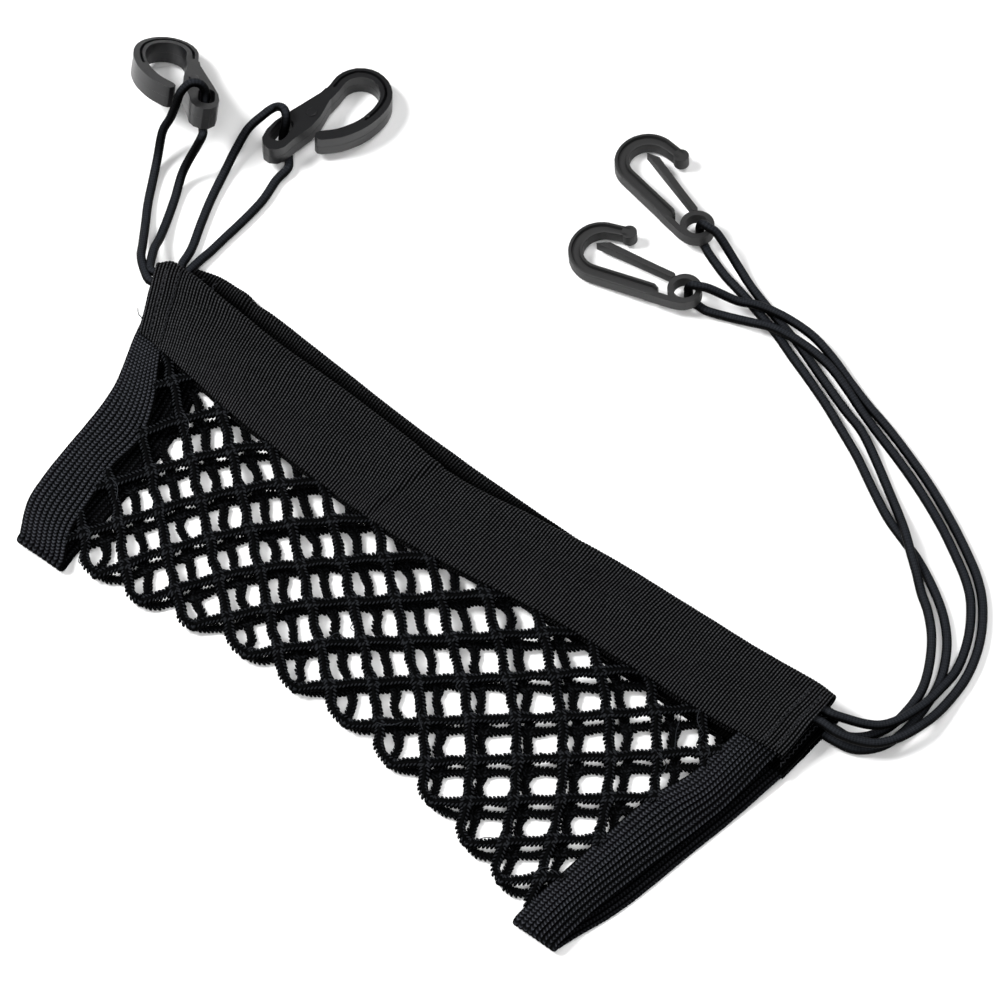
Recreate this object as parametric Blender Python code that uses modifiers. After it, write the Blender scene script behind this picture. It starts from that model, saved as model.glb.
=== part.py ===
"""A seat back storage net, folded once along its bottom and lying flat.

Two grosgrain casings hold the net's two long edges, a knitted elastic band runs down each
side, and an elastic cord loop leaves each end of each casing. The left loops carry snap
hooks, and the right loops carry J hooks whose tongues spring inwards.

+X runs along the casings and +Y from the fold towards them, with the surface at z = 0.
The origin lies on that surface, under the middle of the back casing. Tables are in
millimetres, and everything is built in metres.
"""

import math

import bmesh
import bpy
import numpy as np
from mathutils import Euler, Matrix, Vector

MM = 0.001
GAP = 0.3            # between neighbouring pieces

# Cloth
LEAF = 1.0           # thickness of the casing's ribbon
NET = 1.6            # thickness of the net's sheet, and of the side bands
HEM_ROOM = NET + 3 * GAP
TUCK = 9.0           # how far the net and the bands reach into a casing
SEAM = 1.1           # between the net and a side band
LAYER_LOW = NET / 2  # height of the back layer's middle
LAYER_HIGH = 4.2     # height of the front layer's middle
DRAPE = 30.0         # distance over which a layer comes down from its casing
HEM_LIFT = LEAF + HEM_ROOM / 2

# Cords and hooks
CORD = 3.4
CORD_ROOM = CORD + 2.6 * GAP
CORD_SIDES = 2       # bevel resolution
CORD_STEP = 4.6      # between a tube's rings
SNAP_THICK = 8.5
J_THICK = 5.0
TONGUE_THICK = 4.4

# Casings, one row a station: the folded edge, the hem, the underside's height at each,
# and the room inside the fold.
CASING_COLUMNS = ("x_fold", "y_fold", "x_hem", "y_hem", "low_fold", "low_hem", "room")
FRONT_CASING = (
    (-150.0, 21.5, -137.5, -5.0, 7.6, 5.2, CORD_ROOM),
    (-143.0, 25.5, -129.0, -6.0, 7.6, 5.2, CORD_ROOM),
    (-118.0, 24.0, -108.0, -9.0, 7.0, 5.2, 3.0),
    (-93.0, 22.0, -87.0, -12.0, 6.0, 5.2, 2.8),
    (-64.0, 21.0, -61.0, -14.0, 5.9, 5.2, 2.8),
    (-35.0, 19.0, -33.0, -16.0, 5.9, 5.2, 2.8),
    (-6.0, 16.5, -7.0, -16.0, 5.9, 5.2, 2.8),
    (24.0, 20.0, 22.0, -13.0, 5.9, 5.2, 2.8),
    (55.0, 23.0, 53.0, -9.5, 5.9, 5.2, 2.8),
    (88.0, 24.0, 86.0, -8.0, 6.2, 5.2, 2.8),
    (118.0, 24.0, 116.0, -7.5, 7.6, 5.2, 3.0),
    (142.0, 25.0, 138.0, -5.5, 8.1, 5.2, CORD_ROOM),
    (151.0, 24.5, 149.0, -4.5, 8.1, 5.2, CORD_ROOM),
)
BACK_CASING = (
    (-140.0, 31.5, -133.0, 0.0, 0.0, 0.0, CORD_ROOM),
    (-128.0, 34.0, -122.0, 1.0, 0.0, 0.0, CORD_ROOM),
    (-105.0, 33.0, -100.0, -1.0, 0.0, 0.0, 3.0),
    (-75.0, 30.5, -72.0, -3.0, 0.0, 0.0, 2.8),
    (-48.0, 28.0, -46.0, -5.0, 0.0, 0.0, 2.8),
    (-16.0, 26.0, -16.0, -7.0, 0.0, 0.0, 2.8),
    (16.0, 25.0, 15.0, -8.5, 0.0, 0.0, 2.8),
    (50.0, 24.5, 49.0, -8.5, 0.0, 0.0, 2.8),
    (85.0, 24.0, 84.0, -9.0, 0.0, 0.0, 2.8),
    (118.0, 23.5, 117.0, -9.0, 0.0, 0.0, 3.0),
    (145.0, 23.5, 143.0, -8.0, 0.0, 0.0, CORD_ROOM),
    (155.0, 23.0, 152.0, -8.0, 0.0, 0.0, CORD_ROOM),
)

# Side bands, one row a station down each half: x of the left edge and of the right edge.
BAND_COLUMNS = ("y", "x_left", "x_right")
LEFT_FRONT = (
    (6.0, -141.5, -128.5),
    (-5.0, -138.5, -127.0),
    (-24.0, -132.0, -115.0),
    (-38.0, -130.0, -110.0),
    (-53.0, -129.0, -110.5),
    (-68.0, -128.0, -108.0),
    (-82.0, -125.5, -105.5),
    (-94.0, -119.0, -99.0),
)
LEFT_BACK = (
    (11.0, -130.0, -114.0),
    (0.0, -127.5, -111.0),
    (-24.0, -123.0, -103.0),
    (-53.0, -120.0, -100.5),
    (-82.0, -119.0, -100.0),
    (-94.0, -119.0, -99.0),
)
RIGHT_FRONT = (
    (6.0, 132.0, 147.0),
    (-5.0, 131.0, 146.0),
    (-27.0, 127.0, 143.5),
    (-42.0, 121.0, 140.5),
    (-63.0, 117.0, 135.5),
    (-83.0, 114.0, 131.0),
    (-96.0, 112.0, 129.0),
    (-106.0, 111.0, 128.0),
)
RIGHT_BACK = (
    (1.0, 136.0, 152.5),
    (-8.0, 135.5, 151.5),
    (-30.0, 130.5, 147.5),
    (-49.0, 126.5, 143.5),
    (-80.0, 120.0, 137.0),
    (-100.0, 113.0, 130.0),
    (-106.0, 111.0, 128.0),
)

# The net's bottom fold.
FOLD_COLUMNS = ("x", "y")
NET_FOLD = (
    (-99.0, -91.0),
    (-84.0, -93.5),
    (-63.0, -90.0),
    (-43.0, -86.0),
    (-22.0, -85.0),
    (1.0, -84.5),
    (22.0, -85.5),
    (40.0, -88.0),
    (61.0, -91.0),
    (78.0, -96.0),
    (96.0, -100.5),
    (111.0, -103.0),
)

# Gaps that go straight through both layers: a square lattice of cells.
CELL = 15.9          # from one cell to the next
CELL_HOLE = 8.0      # side of a gap
CELL_TURN = math.radians(37.0)
CELL_FIRST = (30.6, -45.5)
CELL_COUNTS = (4, 3)

# Snap hooks lie on the left, J hooks on the right. Each row is the middle of the hook's eye
# and the height of its underside there, then the hook's turn, tip down and tilt in degrees.
HOOK_COLUMNS = ("x", "y", "lift", "heading", "pitch", "roll")
SNAP_HOOKS = {
    "front": (-175.1, 79.4, 17.4, 160.0, 18.0, 22.0),
    "back": (-150.2, 94.0, 3.8, 67.0, 4.0, -4.0),
}
J_HOOKS = {
    "front": (10.3, 130.4, 4.0, 193.7, 4.6, 0.0),
    "back": (-2.4, 155.8, 4.0, 165.6, 4.6, 0.0),
}

# A cord's way through an eye, in the hook's own plane: x towards its far end, y to its left,
# height above its underside.
PASSES = {
    "snap_front": (
        (7.4, 12.4, -9.0), (6.7, 10.2, -3.0), (6.1, 8.9, 3.0), (5.7, 7.9, 8.0),
        (4.9, 4.8, 11.9), (3.5, 1.2, 11.8), (2.2, -0.9, 8.6), (1.0, -0.5, 4.6),
        (-0.8, 0.4, 1.8), (-2.3, 1.3, -1.4), (-4.6, 2.5, -2.7), (-9.0, 5.0, -2.7),
    ),
    "snap_back": (
        (2.2, 9.8, 9.8), (4.0, 6.8, 11.8), (3.8, 3.6, 11.6), (2.4, 1.4, 8.2),
        (1.2, 0.7, 5.0), (0.3, -0.1, 1.8), (0.4, -1.1, -1.7), (0.6, -3.0, -2.3),
        (-0.6, -6.4, -2.1), (-3.0, -10.0, -2.1),
    ),
    "j": (
        (-9.5, 2.2, -2.1), (-5.6, 1.0, -2.3), (-2.9, 0.5, -2.2), (-1.5, 0.2, -0.3),
        (-1.5, 0.0, 2.5), (-1.5, -0.2, 5.3), (-2.9, -0.5, 7.5), (-5.6, -1.0, 7.6),
        (-9.5, -2.2, 6.0),
    ),
}

# Where each cord's two ends lie in its casing's end, as distances from the hem, and how
# far in they reach.
CORD_ENDS = {
    "cord_left_front": ("front", 0, 21.2, 25.2),
    "cord_left_back": ("back", 0, 24.6, 28.6),
    "cord_right_front": ("front", -1, 22.4, 17.9),
    "cord_right_back": ("back", -1, 25.6, 21.6),
}
CORD_INSIDE = 9.0

# Free run of each cord to its hook and back: x, y and height of the middle.
ROUTES = {
    "cord_left_front": (
        (
            (-157.5, 20.4, 8.4), (-162.5, 27.0, 5.6), (-168.5, 35.5, 3.0), (-174.0, 43.5, 2.0),
            (-179.3, 52.8, 1.9), (-183.2, 60.6, 4.4),
        ),
        (
            (-169.6, 67.6, 14.6), (-170.6, 64.2, 9.8), (-170.8, 60.4, 5.8), (-169.6, 56.2, 3.0),
            (-167.6, 51.6, 1.9), (-163.5, 42.0, 2.2), (-159.5, 33.0, 4.4), (-156.8, 27.0, 7.6),
        ),
    ),
    "cord_left_back": (
        (
            (-146.0, 29.0, 2.8), (-148.4, 38.0, 1.9), (-152.8, 49.0, 1.8), (-156.8, 60.0, 1.8),
            (-159.8, 71.0, 2.6), (-161.8, 80.6, 5.0), (-162.4, 89.0, 8.6), (-160.4, 95.4, 11.8),
        ),
        (
            (-142.6, 81.0, 1.8), (-141.0, 71.0, 1.8), (-141.0, 60.0, 1.8), (-141.6, 50.0, 1.8),
            (-142.0, 41.5, 1.9), (-142.4, 35.6, 2.4),
        ),
    ),
    "cord_right_front": (
        (
            (158.2, 20.4, 9.0), (164.1, 23.4, 7.4), (168.6, 27.0, 6.2), (171.8, 31.8, 5.8),
            (174.2, 37.5, 5.7), (176.0, 44.0, 5.7), (176.8, 52.0, 5.0), (176.6, 61.7, 2.6),
            (174.3, 71.1, 1.8), (170.4, 80.1, 1.8), (164.8, 88.7, 1.8), (159.0, 94.4, 1.8),
            (152.4, 99.2, 1.8), (140.0, 107.2, 1.8), (126.0, 114.6, 1.8), (113.0, 120.4, 1.8),
            (100.4, 125.4, 1.8), (90.0, 129.6, 2.2), (80.0, 133.4, 4.2), (71.0, 136.4, 5.6),
            (62.0, 138.0, 5.8), (53.0, 138.4, 5.8), (44.0, 137.4, 5.7), (36.0, 135.4, 4.0),
            (28.0, 133.6, 2.0),
        ),
        (
            (27.5, 138.6, 6.6), (34.0, 141.8, 5.9), (42.0, 143.6, 5.8), (51.0, 144.0, 5.8),
            (60.0, 143.2, 5.4), (70.0, 140.6, 4.0), (80.0, 137.0, 2.4), (90.0, 133.4, 1.8),
            (102.0, 129.4, 1.8), (114.6, 124.4, 1.8), (128.0, 118.4, 1.8), (142.4, 110.6, 1.8),
            (155.0, 102.6, 1.8), (162.2, 97.2, 1.8), (168.4, 90.8, 1.8), (174.2, 82.0, 1.8),
            (178.4, 72.4, 1.8), (180.8, 62.0, 1.8), (181.2, 52.0, 2.2), (180.8, 43.0, 3.8),
            (179.4, 35.0, 5.6), (176.4, 27.0, 6.2), (172.4, 21.0, 6.6), (168.4, 17.8, 7.2),
            (163.6, 15.4, 8.2), (158.5, 13.8, 9.4),
        ),
    ),
    "cord_right_back": (
        (
            (161.5, 18.4, 2.2), (166.4, 22.8, 1.8), (170.2, 30.0, 1.8), (171.6, 38.7, 1.8),
            (171.2, 48.5, 1.8), (167.9, 58.1, 1.8), (162.2, 68.1, 1.8), (155.6, 75.6, 1.8),
            (149.5, 80.4, 2.2), (144.0, 85.0, 4.4), (138.0, 90.0, 5.8), (132.0, 95.4, 5.8),
            (126.0, 100.8, 3.6), (117.0, 107.8, 1.9), (106.0, 115.6, 1.8), (95.0, 122.6, 1.8),
            (85.0, 126.4, 1.8), (75.0, 130.6, 1.8), (66.0, 134.6, 1.8), (56.0, 139.0, 1.8),
            (46.0, 142.6, 1.8), (37.0, 145.6, 1.8), (27.0, 149.0, 2.6), (18.0, 152.6, 4.6),
        ),
        (
            (16.0, 147.6, 1.9), (26.0, 144.8, 1.8), (36.0, 141.6, 1.8), (46.0, 138.2, 1.8),
            (56.0, 133.8, 1.8), (67.0, 129.2, 1.8), (77.6, 124.4, 1.8), (87.4, 119.4, 1.8),
            (99.4, 113.0, 1.8), (111.0, 105.6, 1.8), (122.4, 98.8, 1.8), (131.8, 94.8, 1.8),
            (140.4, 91.2, 1.8), (148.6, 86.6, 1.8), (155.8, 81.7, 1.8), (162.0, 76.4, 1.8),
            (167.6, 69.7, 1.8), (172.0, 61.7, 1.8), (174.8, 53.3, 1.8), (175.8, 44.0, 1.8),
            (175.6, 33.0, 1.8), (173.2, 24.0, 1.8), (169.0, 18.2, 1.8), (164.0, 15.0, 1.9),
        ),
    ),
}
CORD_HOOKS = {
    "cord_left_front": (SNAP_HOOKS["front"], "snap_front", 1),
    "cord_left_back": (SNAP_HOOKS["back"], "snap_back", 1),
    "cord_right_front": (J_HOOKS["front"], "j", 1),
    "cord_right_back": (J_HOOKS["back"], "j", -1),
}

COLOURS = {
    "ribbon": (0.022, 0.022, 0.024, 0.75, 0.0),
    "mesh": (0.014, 0.014, 0.016, 0.85, 0.0),
    "elastic": (0.03, 0.03, 0.033, 0.8, 0.0),
    "braid": (0.05, 0.052, 0.058, 0.6, 0.0),
    "nylon": (0.02, 0.02, 0.023, 0.35, 0.0),
    "acetal": (0.06, 0.06, 0.062, 0.5, 0.0),
}


def clear_scene():
    for obj in list(bpy.data.objects):
        bpy.data.objects.remove(obj, do_unlink=True)


def collection(name):
    made = bpy.data.collections.new(name)
    bpy.context.scene.collection.children.link(made)
    return made


def material(node, finish):
    red, green, blue, rough, metal = COLOURS[finish]
    made = bpy.data.materials.new(node)
    made.use_nodes = True
    shader = made.node_tree.nodes["Principled BSDF"]
    shader.inputs["Base Color"].default_value = (red, green, blue, 1.0)
    shader.inputs["Roughness"].default_value = rough
    shader.inputs["Metallic"].default_value = metal
    made.diffuse_color = (red, green, blue, 1.0)
    return made


def smooth(rows, count):
    """Rows read from the smooth curve through the given ones, evenly by chord length."""
    rows = np.array(rows, float)
    ends = np.vstack([2 * rows[0] - rows[1], rows, 2 * rows[-1] - rows[-2]])
    fine = []
    for index in range(len(rows) - 1):
        before, start, stop, after = ends[index : index + 4]
        for t in np.linspace(0, 1, 12, endpoint=False):
            fine.append(
                0.5
                * (
                    2 * start
                    + (stop - before) * t
                    + (2 * before - 5 * start + 4 * stop - after) * t**2
                    + (3 * start - before - 3 * stop + after) * t**3
                )
            )
    fine = np.array(fine + [rows[-1]])
    steps = np.linalg.norm(np.diff(fine, axis=0), axis=1)
    along = np.concatenate([[0], np.cumsum(steps)])
    wanted = np.linspace(0, along[-1], count)
    return np.stack([np.interp(wanted, along, column) for column in fine.T], axis=1)


def ease(value):
    value = np.clip(value, 0, 1)
    return value * value * (3 - 2 * value)


def cloth(name, grid, thick, finish, home):
    """A closed sheet of even thickness round a grid of points, given in millimetres."""
    grid = np.array(grid, float) * MM
    rows, columns = grid.shape[:2]
    mesh = bmesh.new()
    points = [[mesh.verts.new(point) for point in row] for row in grid]
    for i in range(rows - 1):
        for j in range(columns - 1):
            mesh.faces.new(
                (points[i][j], points[i + 1][j], points[i + 1][j + 1], points[i][j + 1])
            )
    data = bpy.data.meshes.new(name)
    mesh.to_mesh(data)
    mesh.free()
    made = bpy.data.objects.new(name, data)
    home.objects.link(made)
    solid = made.modifiers.new("Thickness", "SOLIDIFY")
    solid.thickness = thick * MM
    solid.offset = 0
    data.materials.append(material(name, finish))
    data.shade_smooth()
    return made


def frozen(made):
    """Turns an object into the mesh that its modifiers or its curve give, welded."""
    graph = bpy.context.evaluated_depsgraph_get()
    data = bpy.data.meshes.new_from_object(made.evaluated_get(graph))
    mesh = bmesh.new()
    mesh.from_mesh(data)
    bmesh.ops.remove_doubles(mesh, verts=mesh.verts, dist=1e-6)
    bmesh.ops.recalc_face_normals(mesh, faces=mesh.faces)
    mesh.to_mesh(data)
    mesh.free()
    name, home, place = made.name, made.users_collection[0], made.matrix_world.copy()
    bpy.data.objects.remove(made, do_unlink=True)
    made = bpy.data.objects.new(name, data)
    made.matrix_world = place
    home.objects.link(made)
    return made


# ---------------------------------------------------------------- casings, bands and net


def casing_rows(table, count=24):
    return smooth(table, count)


def casing_section(row):
    """Points of one section, in millimetres: up the lower leaf, round the fold and back."""
    x_fold, y_fold, x_hem, y_hem, low_fold, low_hem, room = row
    width = math.hypot(x_fold - x_hem, y_fold - y_hem)
    radius = (room + LEAF) / 2
    reach = width - radius - LEAF / 2
    along = reach * np.array([0, 0.22, 0.4, 0.5, 0.6, 0.7, 0.8, 0.9, 1])
    section = []
    for leaf in (0, 1):
        for far in along if leaf == 0 else along[::-1]:
            open_up = HEM_ROOM + (room - HEM_ROOM) * ease((far - 8) / 8)
            height = low_hem + (low_fold - low_hem) * far / width + LEAF / 2
            section.append((far, height + leaf * (open_up + LEAF)))
        if leaf == 0:
            middle = low_hem + (low_fold - low_hem) * reach / width + LEAF / 2 + radius
            for turn in np.radians((-60, -30, 0, 30, 60)):
                section.append(
                    (reach + radius * math.cos(turn), middle + radius * math.sin(turn))
                )
    side = ((x_fold - x_hem) / width, (y_fold - y_hem) / width)
    return [(x_hem + side[0] * far, y_hem + side[1] * far, high) for far, high in section]


def add_casing(name, rows, home):
    grid = [casing_section(row) for row in rows]
    made = cloth(name, grid, LEAF, "ribbon", home)
    made.modifiers["Thickness"].use_even_offset = True
    return made


def hem_at(rows, x):
    """y of the hem, its height inside and the height's slope, where the hem passes x."""
    y = np.interp(x, rows[:, 2], rows[:, 3])
    width = np.hypot(rows[:, 0] - rows[:, 2], rows[:, 1] - rows[:, 3])
    slope = np.interp(x, rows[:, 2], (rows[:, 4] - rows[:, 5]) / width)
    low = np.interp(x, rows[:, 2], rows[:, 5])
    return y, low + HEM_LIFT, slope


def layer_height(rows, x, y, rest):
    """Height of a layer's middle: level with its casing inside it, then down to rest."""
    hem, high, slope = hem_at(rows, x)
    if y >= hem:
        return high + slope * (y - hem)
    return high + (rest - high) * float(ease((hem - y - 1) / DRAPE))


def edge(table, column, y):
    table = np.array(table)
    return float(np.interp(-y, -table[:, 0], table[:, column]))


def fold_turn(y, low, high, steps=(60, 30, 0, -30, -60)):
    """y and height round a bottom fold."""
    radius = (high - low) / 2
    return [
        (y - radius * math.cos(math.radians(turn)), low + radius + radius * math.sin(math.radians(turn)))
        for turn in steps
    ]


def add_band(name, front, back, casings, home):
    grid = []
    for rows, table in zip(casings, (front, back[::-1])):
        rest = LAYER_HIGH if table is front else LAYER_LOW
        dense = smooth(table, 18)
        for y, left, right in dense:
            grid.append(
                [
                    (x, y, layer_height(rows, x, y, rest))
                    for x in np.linspace(left, right, 4)
                ]
            )
        if table is front:
            for turn_y, height in fold_turn(front[-1][0], LAYER_LOW, LAYER_HIGH):
                grid.append(
                    [(x, turn_y, height) for x in np.linspace(front[-1][1], front[-1][2], 4)]
                )
    return cloth(name, grid, NET, "elastic", home)


def net_column(u, front_rows, back_rows):
    """One line of the net, from the front casing down, round the fold and back up."""
    sides = ((LEFT_FRONT, RIGHT_FRONT, front_rows), (LEFT_BACK, RIGHT_BACK, back_rows))
    bottom_left, bottom_right = LEFT_FRONT[-1][2], RIGHT_FRONT[-1][1]
    bottom_x = bottom_left + SEAM + u * (bottom_right - bottom_left - 2 * SEAM)
    fold = np.array(NET_FOLD)
    bottom_y = float(np.interp(bottom_x, fold[:, 0], fold[:, 1]))
    column = []
    for index, (left, right, rows) in enumerate(sides):
        rest = LAYER_LOW if index else LAYER_HIGH
        head_x = left[1][2] + u * (right[1][1] - left[1][2])
        head_y = hem_at(rows, head_x)[0] + TUCK - 1
        half = []
        for v in np.linspace(0, 1, 16):
            y = head_y + (bottom_y - head_y) * v
            first = edge(left, 2, y) + SEAM
            last = edge(right, 1, y) - SEAM
            x = first + (last - first) * u
            height = layer_height(rows, x, y, rest)
            half.append((x, y, height))
        column += half if index == 0 else half[::-1]
        if index == 0:
            for y, height in fold_turn(bottom_y, LAYER_LOW, LAYER_HIGH):
                column.append((bottom_x, y, height))
    return column


def add_net(front_rows, back_rows, home, cutters):
    grid = [net_column(u, front_rows, back_rows) for u in np.linspace(0, 1, 21)]
    net = frozen(cloth("net", np.transpose(grid, (1, 0, 2)), NET, "mesh", home))
    across = Vector((math.cos(CELL_TURN), math.sin(CELL_TURN)))
    down = Vector((math.sin(CELL_TURN), -math.cos(CELL_TURN)))
    for column in range(CELL_COUNTS[0]):
        for row in range(CELL_COUNTS[1]):
            middle = Vector(CELL_FIRST) + across * CELL * column + down * CELL * row
            bpy.ops.mesh.primitive_cube_add(size=1)
            cutter = bpy.context.object
            cutter.name = f"cell_cutter_{column}_{row}"
            cutter.scale = (CELL_HOLE * MM, CELL_HOLE * MM, 20 * MM)
            cutter.rotation_euler = (0, 0, CELL_TURN)
            cutter.location = (middle.x * MM, middle.y * MM, 0)
            move_to(cutter, cutters)
            cutter.hide_render = True
            cutter.display_type = "WIRE"
            cut = net.modifiers.new(cutter.name, "BOOLEAN")
            cut.operation = "DIFFERENCE"
            cut.object = cutter
    return net


def move_to(made, home):
    for old in list(made.users_collection):
        old.objects.unlink(made)
    home.objects.link(made)


# ------------------------------------------------------------------------------- hooks


def strip_outline(middle, width):
    """Closed outline of a strip with round ends along a middle line, in millimetres."""
    middle = np.array(middle, float)
    ahead = np.gradient(middle, axis=0)
    ahead /= np.linalg.norm(ahead, axis=1)[:, None]
    side = np.stack([-ahead[:, 1], ahead[:, 0]], axis=1) * width / 2
    outline = list(middle + side)
    for end, sign in ((-1, 1), (0, -1)):
        start = math.atan2(*(side[end] * sign)[::-1])
        for turn in (-45, -90, -135):
            angle = start + math.radians(turn)
            outline.append(
                middle[end] + width / 2 * np.array([math.cos(angle), math.sin(angle)])
            )
        if end == -1:
            outline += list((middle - side)[::-1])
    return outline


def arc(centre, radius_x, radius_y, start, stop, count):
    angles = np.radians(np.linspace(start, stop, count))
    return [
        (centre[0] + radius_x * math.cos(a), centre[1] + radius_y * math.sin(a))
        for a in angles
    ]


def plate(name, loops, thick, low, home):
    """An extruded flat outline; loops inside another are holes. low is its underside."""
    curve = bpy.data.curves.new(name, "CURVE")
    curve.dimensions = "2D"
    curve.fill_mode = "BOTH"
    curve.extrude = thick / 2 * MM
    for loop in loops:
        spline = curve.splines.new("POLY")
        spline.points.add(len(loop) - 1)
        for point, (x, y) in zip(spline.points, loop):
            point.co = (x * MM, y * MM, 0, 1)
        spline.use_cyclic_u = True
    made = bpy.data.objects.new(name, curve)
    home.objects.link(made)
    made.location.z = (low + thick / 2) * MM
    bpy.context.view_layer.update()
    made = frozen(made)
    made.data.transform(made.matrix_world)
    made.matrix_world = Matrix.Identity(4)
    return made


def joined(name, pieces, finish, home):
    """One closed body from overlapping pieces."""
    body = pieces[0]
    for other in pieces[1:]:
        union = body.modifiers.new("Join", "BOOLEAN")
        union.operation = "UNION"
        union.object = other
        bpy.context.view_layer.update()
        body = frozen(body)
        bpy.data.objects.remove(other, do_unlink=True)
    body.name = name
    body.data.materials.clear()
    body.data.materials.append(material(name, finish))
    return body


def hook_turn(placing):
    heading, pitch, roll = placing[3:]
    return Euler((math.radians(roll), math.radians(pitch), math.radians(heading))).to_matrix()


def hook_frame(name, placing, home):
    """An empty at the hook's eye, on the hook's underside, with its x axis along the hook."""
    frame = bpy.data.objects.new(name, None)
    home.objects.link(frame)
    frame.location = Vector(placing[:3]) * MM
    frame.rotation_euler = hook_turn(placing).to_euler()
    return frame


# The snap hook in its own plane: the middle of its eye is the origin, the ring bends to the
# right and its spine runs along the left.
SNAP_RING = (
    (14.0, 4.2), (21.0, 5.8), (27.0, 8.4), (32.5, 11.3), (38.2, 11.1), (42.8, 7.6),
    (44.4, 2.2), (43.2, -3.2), (39.6, -7.4), (34.0, -10.4), (27.0, -12.2), (18.5, -12.0),
    (11.4, -9.6),
)
SNAP_STRIP = 4.6
SNAP_BODY = (
    (-9.6, -3.4), (-8.8, -6.0), (-6.2, -7.8), (-3.0, -8.0), (1.5, -6.4), (10.5, -4.0),
    (16.0, -1.2), (22.0, 3.4), (26.0, 6.4), (24.6, 10.2), (21.6, 9.0), (5.8, 6.2),
    (0.0, 5.0), (-4.6, 3.0), (-8.2, 0.2),
)
SNAP_SLOT = {"length": 11.6, "width": 6.4, "turn": 29.4}


def add_snap_hook(name, placing, mirror, home):
    ring = smooth(SNAP_RING, 34)
    strip = plate("ring", [strip_outline(ring, SNAP_STRIP)], SNAP_THICK, 0, home)
    half = SNAP_SLOT["width"] / 2
    run = SNAP_SLOT["length"] / 2 - half
    turn = math.radians(SNAP_SLOT["turn"])
    slot = [
        (x * math.cos(turn) - y * math.sin(turn), x * math.sin(turn) + y * math.cos(turn))
        for x, y in arc((run, 0), half, half, 90, -90, 7) + arc((-run, 0), half, half, 270, 90, 7)
    ]
    block = plate("body", [SNAP_BODY, slot], SNAP_THICK, 0, home)
    hook = joined(name, [block, strip], "nylon", home)
    if mirror:
        hook.data.transform(Matrix.Diagonal((1, -1, 1, 1)))
        hook.data.flip_normals()
    hook.parent = hook_frame(name + "_frame", placing, home)
    return hook


# The J hook in its own plane: the eye is the origin and x runs towards the bow.
J_STRIP = 5.5
J_EYE = (4.3, 6.4)           # inner and outer radius
J_SHANK_Y = -4.5
J_ARM_Y = 15.5
J_BOW_X = 35.0
J_ARM_END = (28.7, 16.2)
J_KNOB = 2.9
J_SHANK_END = 11.4
J_NECK = 2.25                # width of the strip that runs on round the eye
TONGUE_WIDE = 2.3
TONGUE_LONG = 30.0
TONGUE_TURN = math.radians(8.0)
TONGUE_ROOT_TURN = math.radians(33.0)


def tongue_root():
    away = J_EYE[1] + GAP + TONGUE_WIDE / 2
    return (away * math.cos(TONGUE_ROOT_TURN), away * math.sin(TONGUE_ROOT_TURN))


def add_j_hook(name, placing, side, home):
    """side is 1 where the arm lies on the left of the hook's heading, else -1."""
    frame = hook_frame(name + "_frame", placing, home)
    radius = (J_ARM_Y - J_SHANK_Y) / 2
    middle = (
        [(J_SHANK_END, J_SHANK_Y), (J_BOW_X - 12, J_SHANK_Y)]
        + arc((J_BOW_X, J_SHANK_Y + radius), radius, radius, -90, 90, 15)
        + [J_ARM_END]
    )
    strip = plate("strip", [strip_outline(middle, J_STRIP)], J_THICK, 0, home)
    knob = plate("knob", [arc(J_ARM_END, J_KNOB, J_KNOB, 0, 345, 24)], J_THICK, 0, home)
    eye = plate(
        "eye",
        [arc((0, 0), r, r, 0, 345, 24) for r in J_EYE[::-1]],
        J_THICK,
        0,
        home,
    )
    outer = J_SHANK_Y - J_STRIP / 2
    neck = [(-0.5, outer + 1.2), (2.0, outer), (13.0, outer), (13.0, outer + J_NECK), (0.0, outer + J_NECK)]
    neck = plate("neck", [neck], J_THICK, 0, home)
    hook = joined(f"j_hook_{name}", [strip, knob, neck, eye], "acetal", home)

    root = tongue_root()
    half = TONGUE_WIDE / 2
    outline = arc((0, 0), half, half, 100, 260, 7) + [
        (8.0, -half), (TONGUE_LONG + 2.0, -half - 0.1), (TONGUE_LONG - 2.5, half + 0.5),
        (TONGUE_LONG - 8.0, half + 0.3), (8.0, half),
    ]
    low = (J_THICK - TONGUE_THICK) / 2
    tongue = plate(f"j_tongue_{name}", [outline], TONGUE_THICK, low, home)
    tongue.data.materials.append(material(tongue.name, "acetal"))
    tongue.location = (root[0] * MM, side * root[1] * MM, 0)
    tongue.rotation_euler = (0, 0, side * TONGUE_TURN)
    if side < 0:
        for made in (hook, tongue):
            made.data.transform(Matrix.Diagonal((1, -1, 1, 1)))
            made.data.flip_normals()
    hook.parent = frame
    tongue.parent = frame


# ------------------------------------------------------------------------------- cords


def cord_route(name, casings):
    """The free run, with straight ends between the leaves of its casing."""
    which, index, first, last = CORD_ENDS[name]
    rows = casings[which]
    inner = 1 if index == 0 else -2
    ends = []
    for far in (first, last):
        place = []
        for row in (rows[index], rows[inner]):
            x_fold, y_fold, x_hem, y_hem, low_fold, low_hem, room = row
            share = far / math.hypot(x_fold - x_hem, y_fold - y_hem)
            low = low_hem + (low_fold - low_hem) * share
            place.append(
                (
                    x_hem + (x_fold - x_hem) * share,
                    y_hem + (y_fold - y_hem) * share,
                    low + LEAF + room / 2,
                )
            )
        mouth, within = np.array(place)
        step = (within - mouth) / np.linalg.norm(within - mouth)
        ends.append([mouth + step * CORD_INSIDE, mouth + step * 4, mouth, mouth - step * 3])
    placing, way, order = CORD_HOOKS[name]
    turn = hook_turn(placing)
    middle = Vector(placing[:3])
    through = [middle + turn @ Vector(point) for point in PASSES[way][::order]]
    there, back = ROUTES[name]
    return np.vstack([ends[0], there, through, back, ends[1][::-1]])


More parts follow.
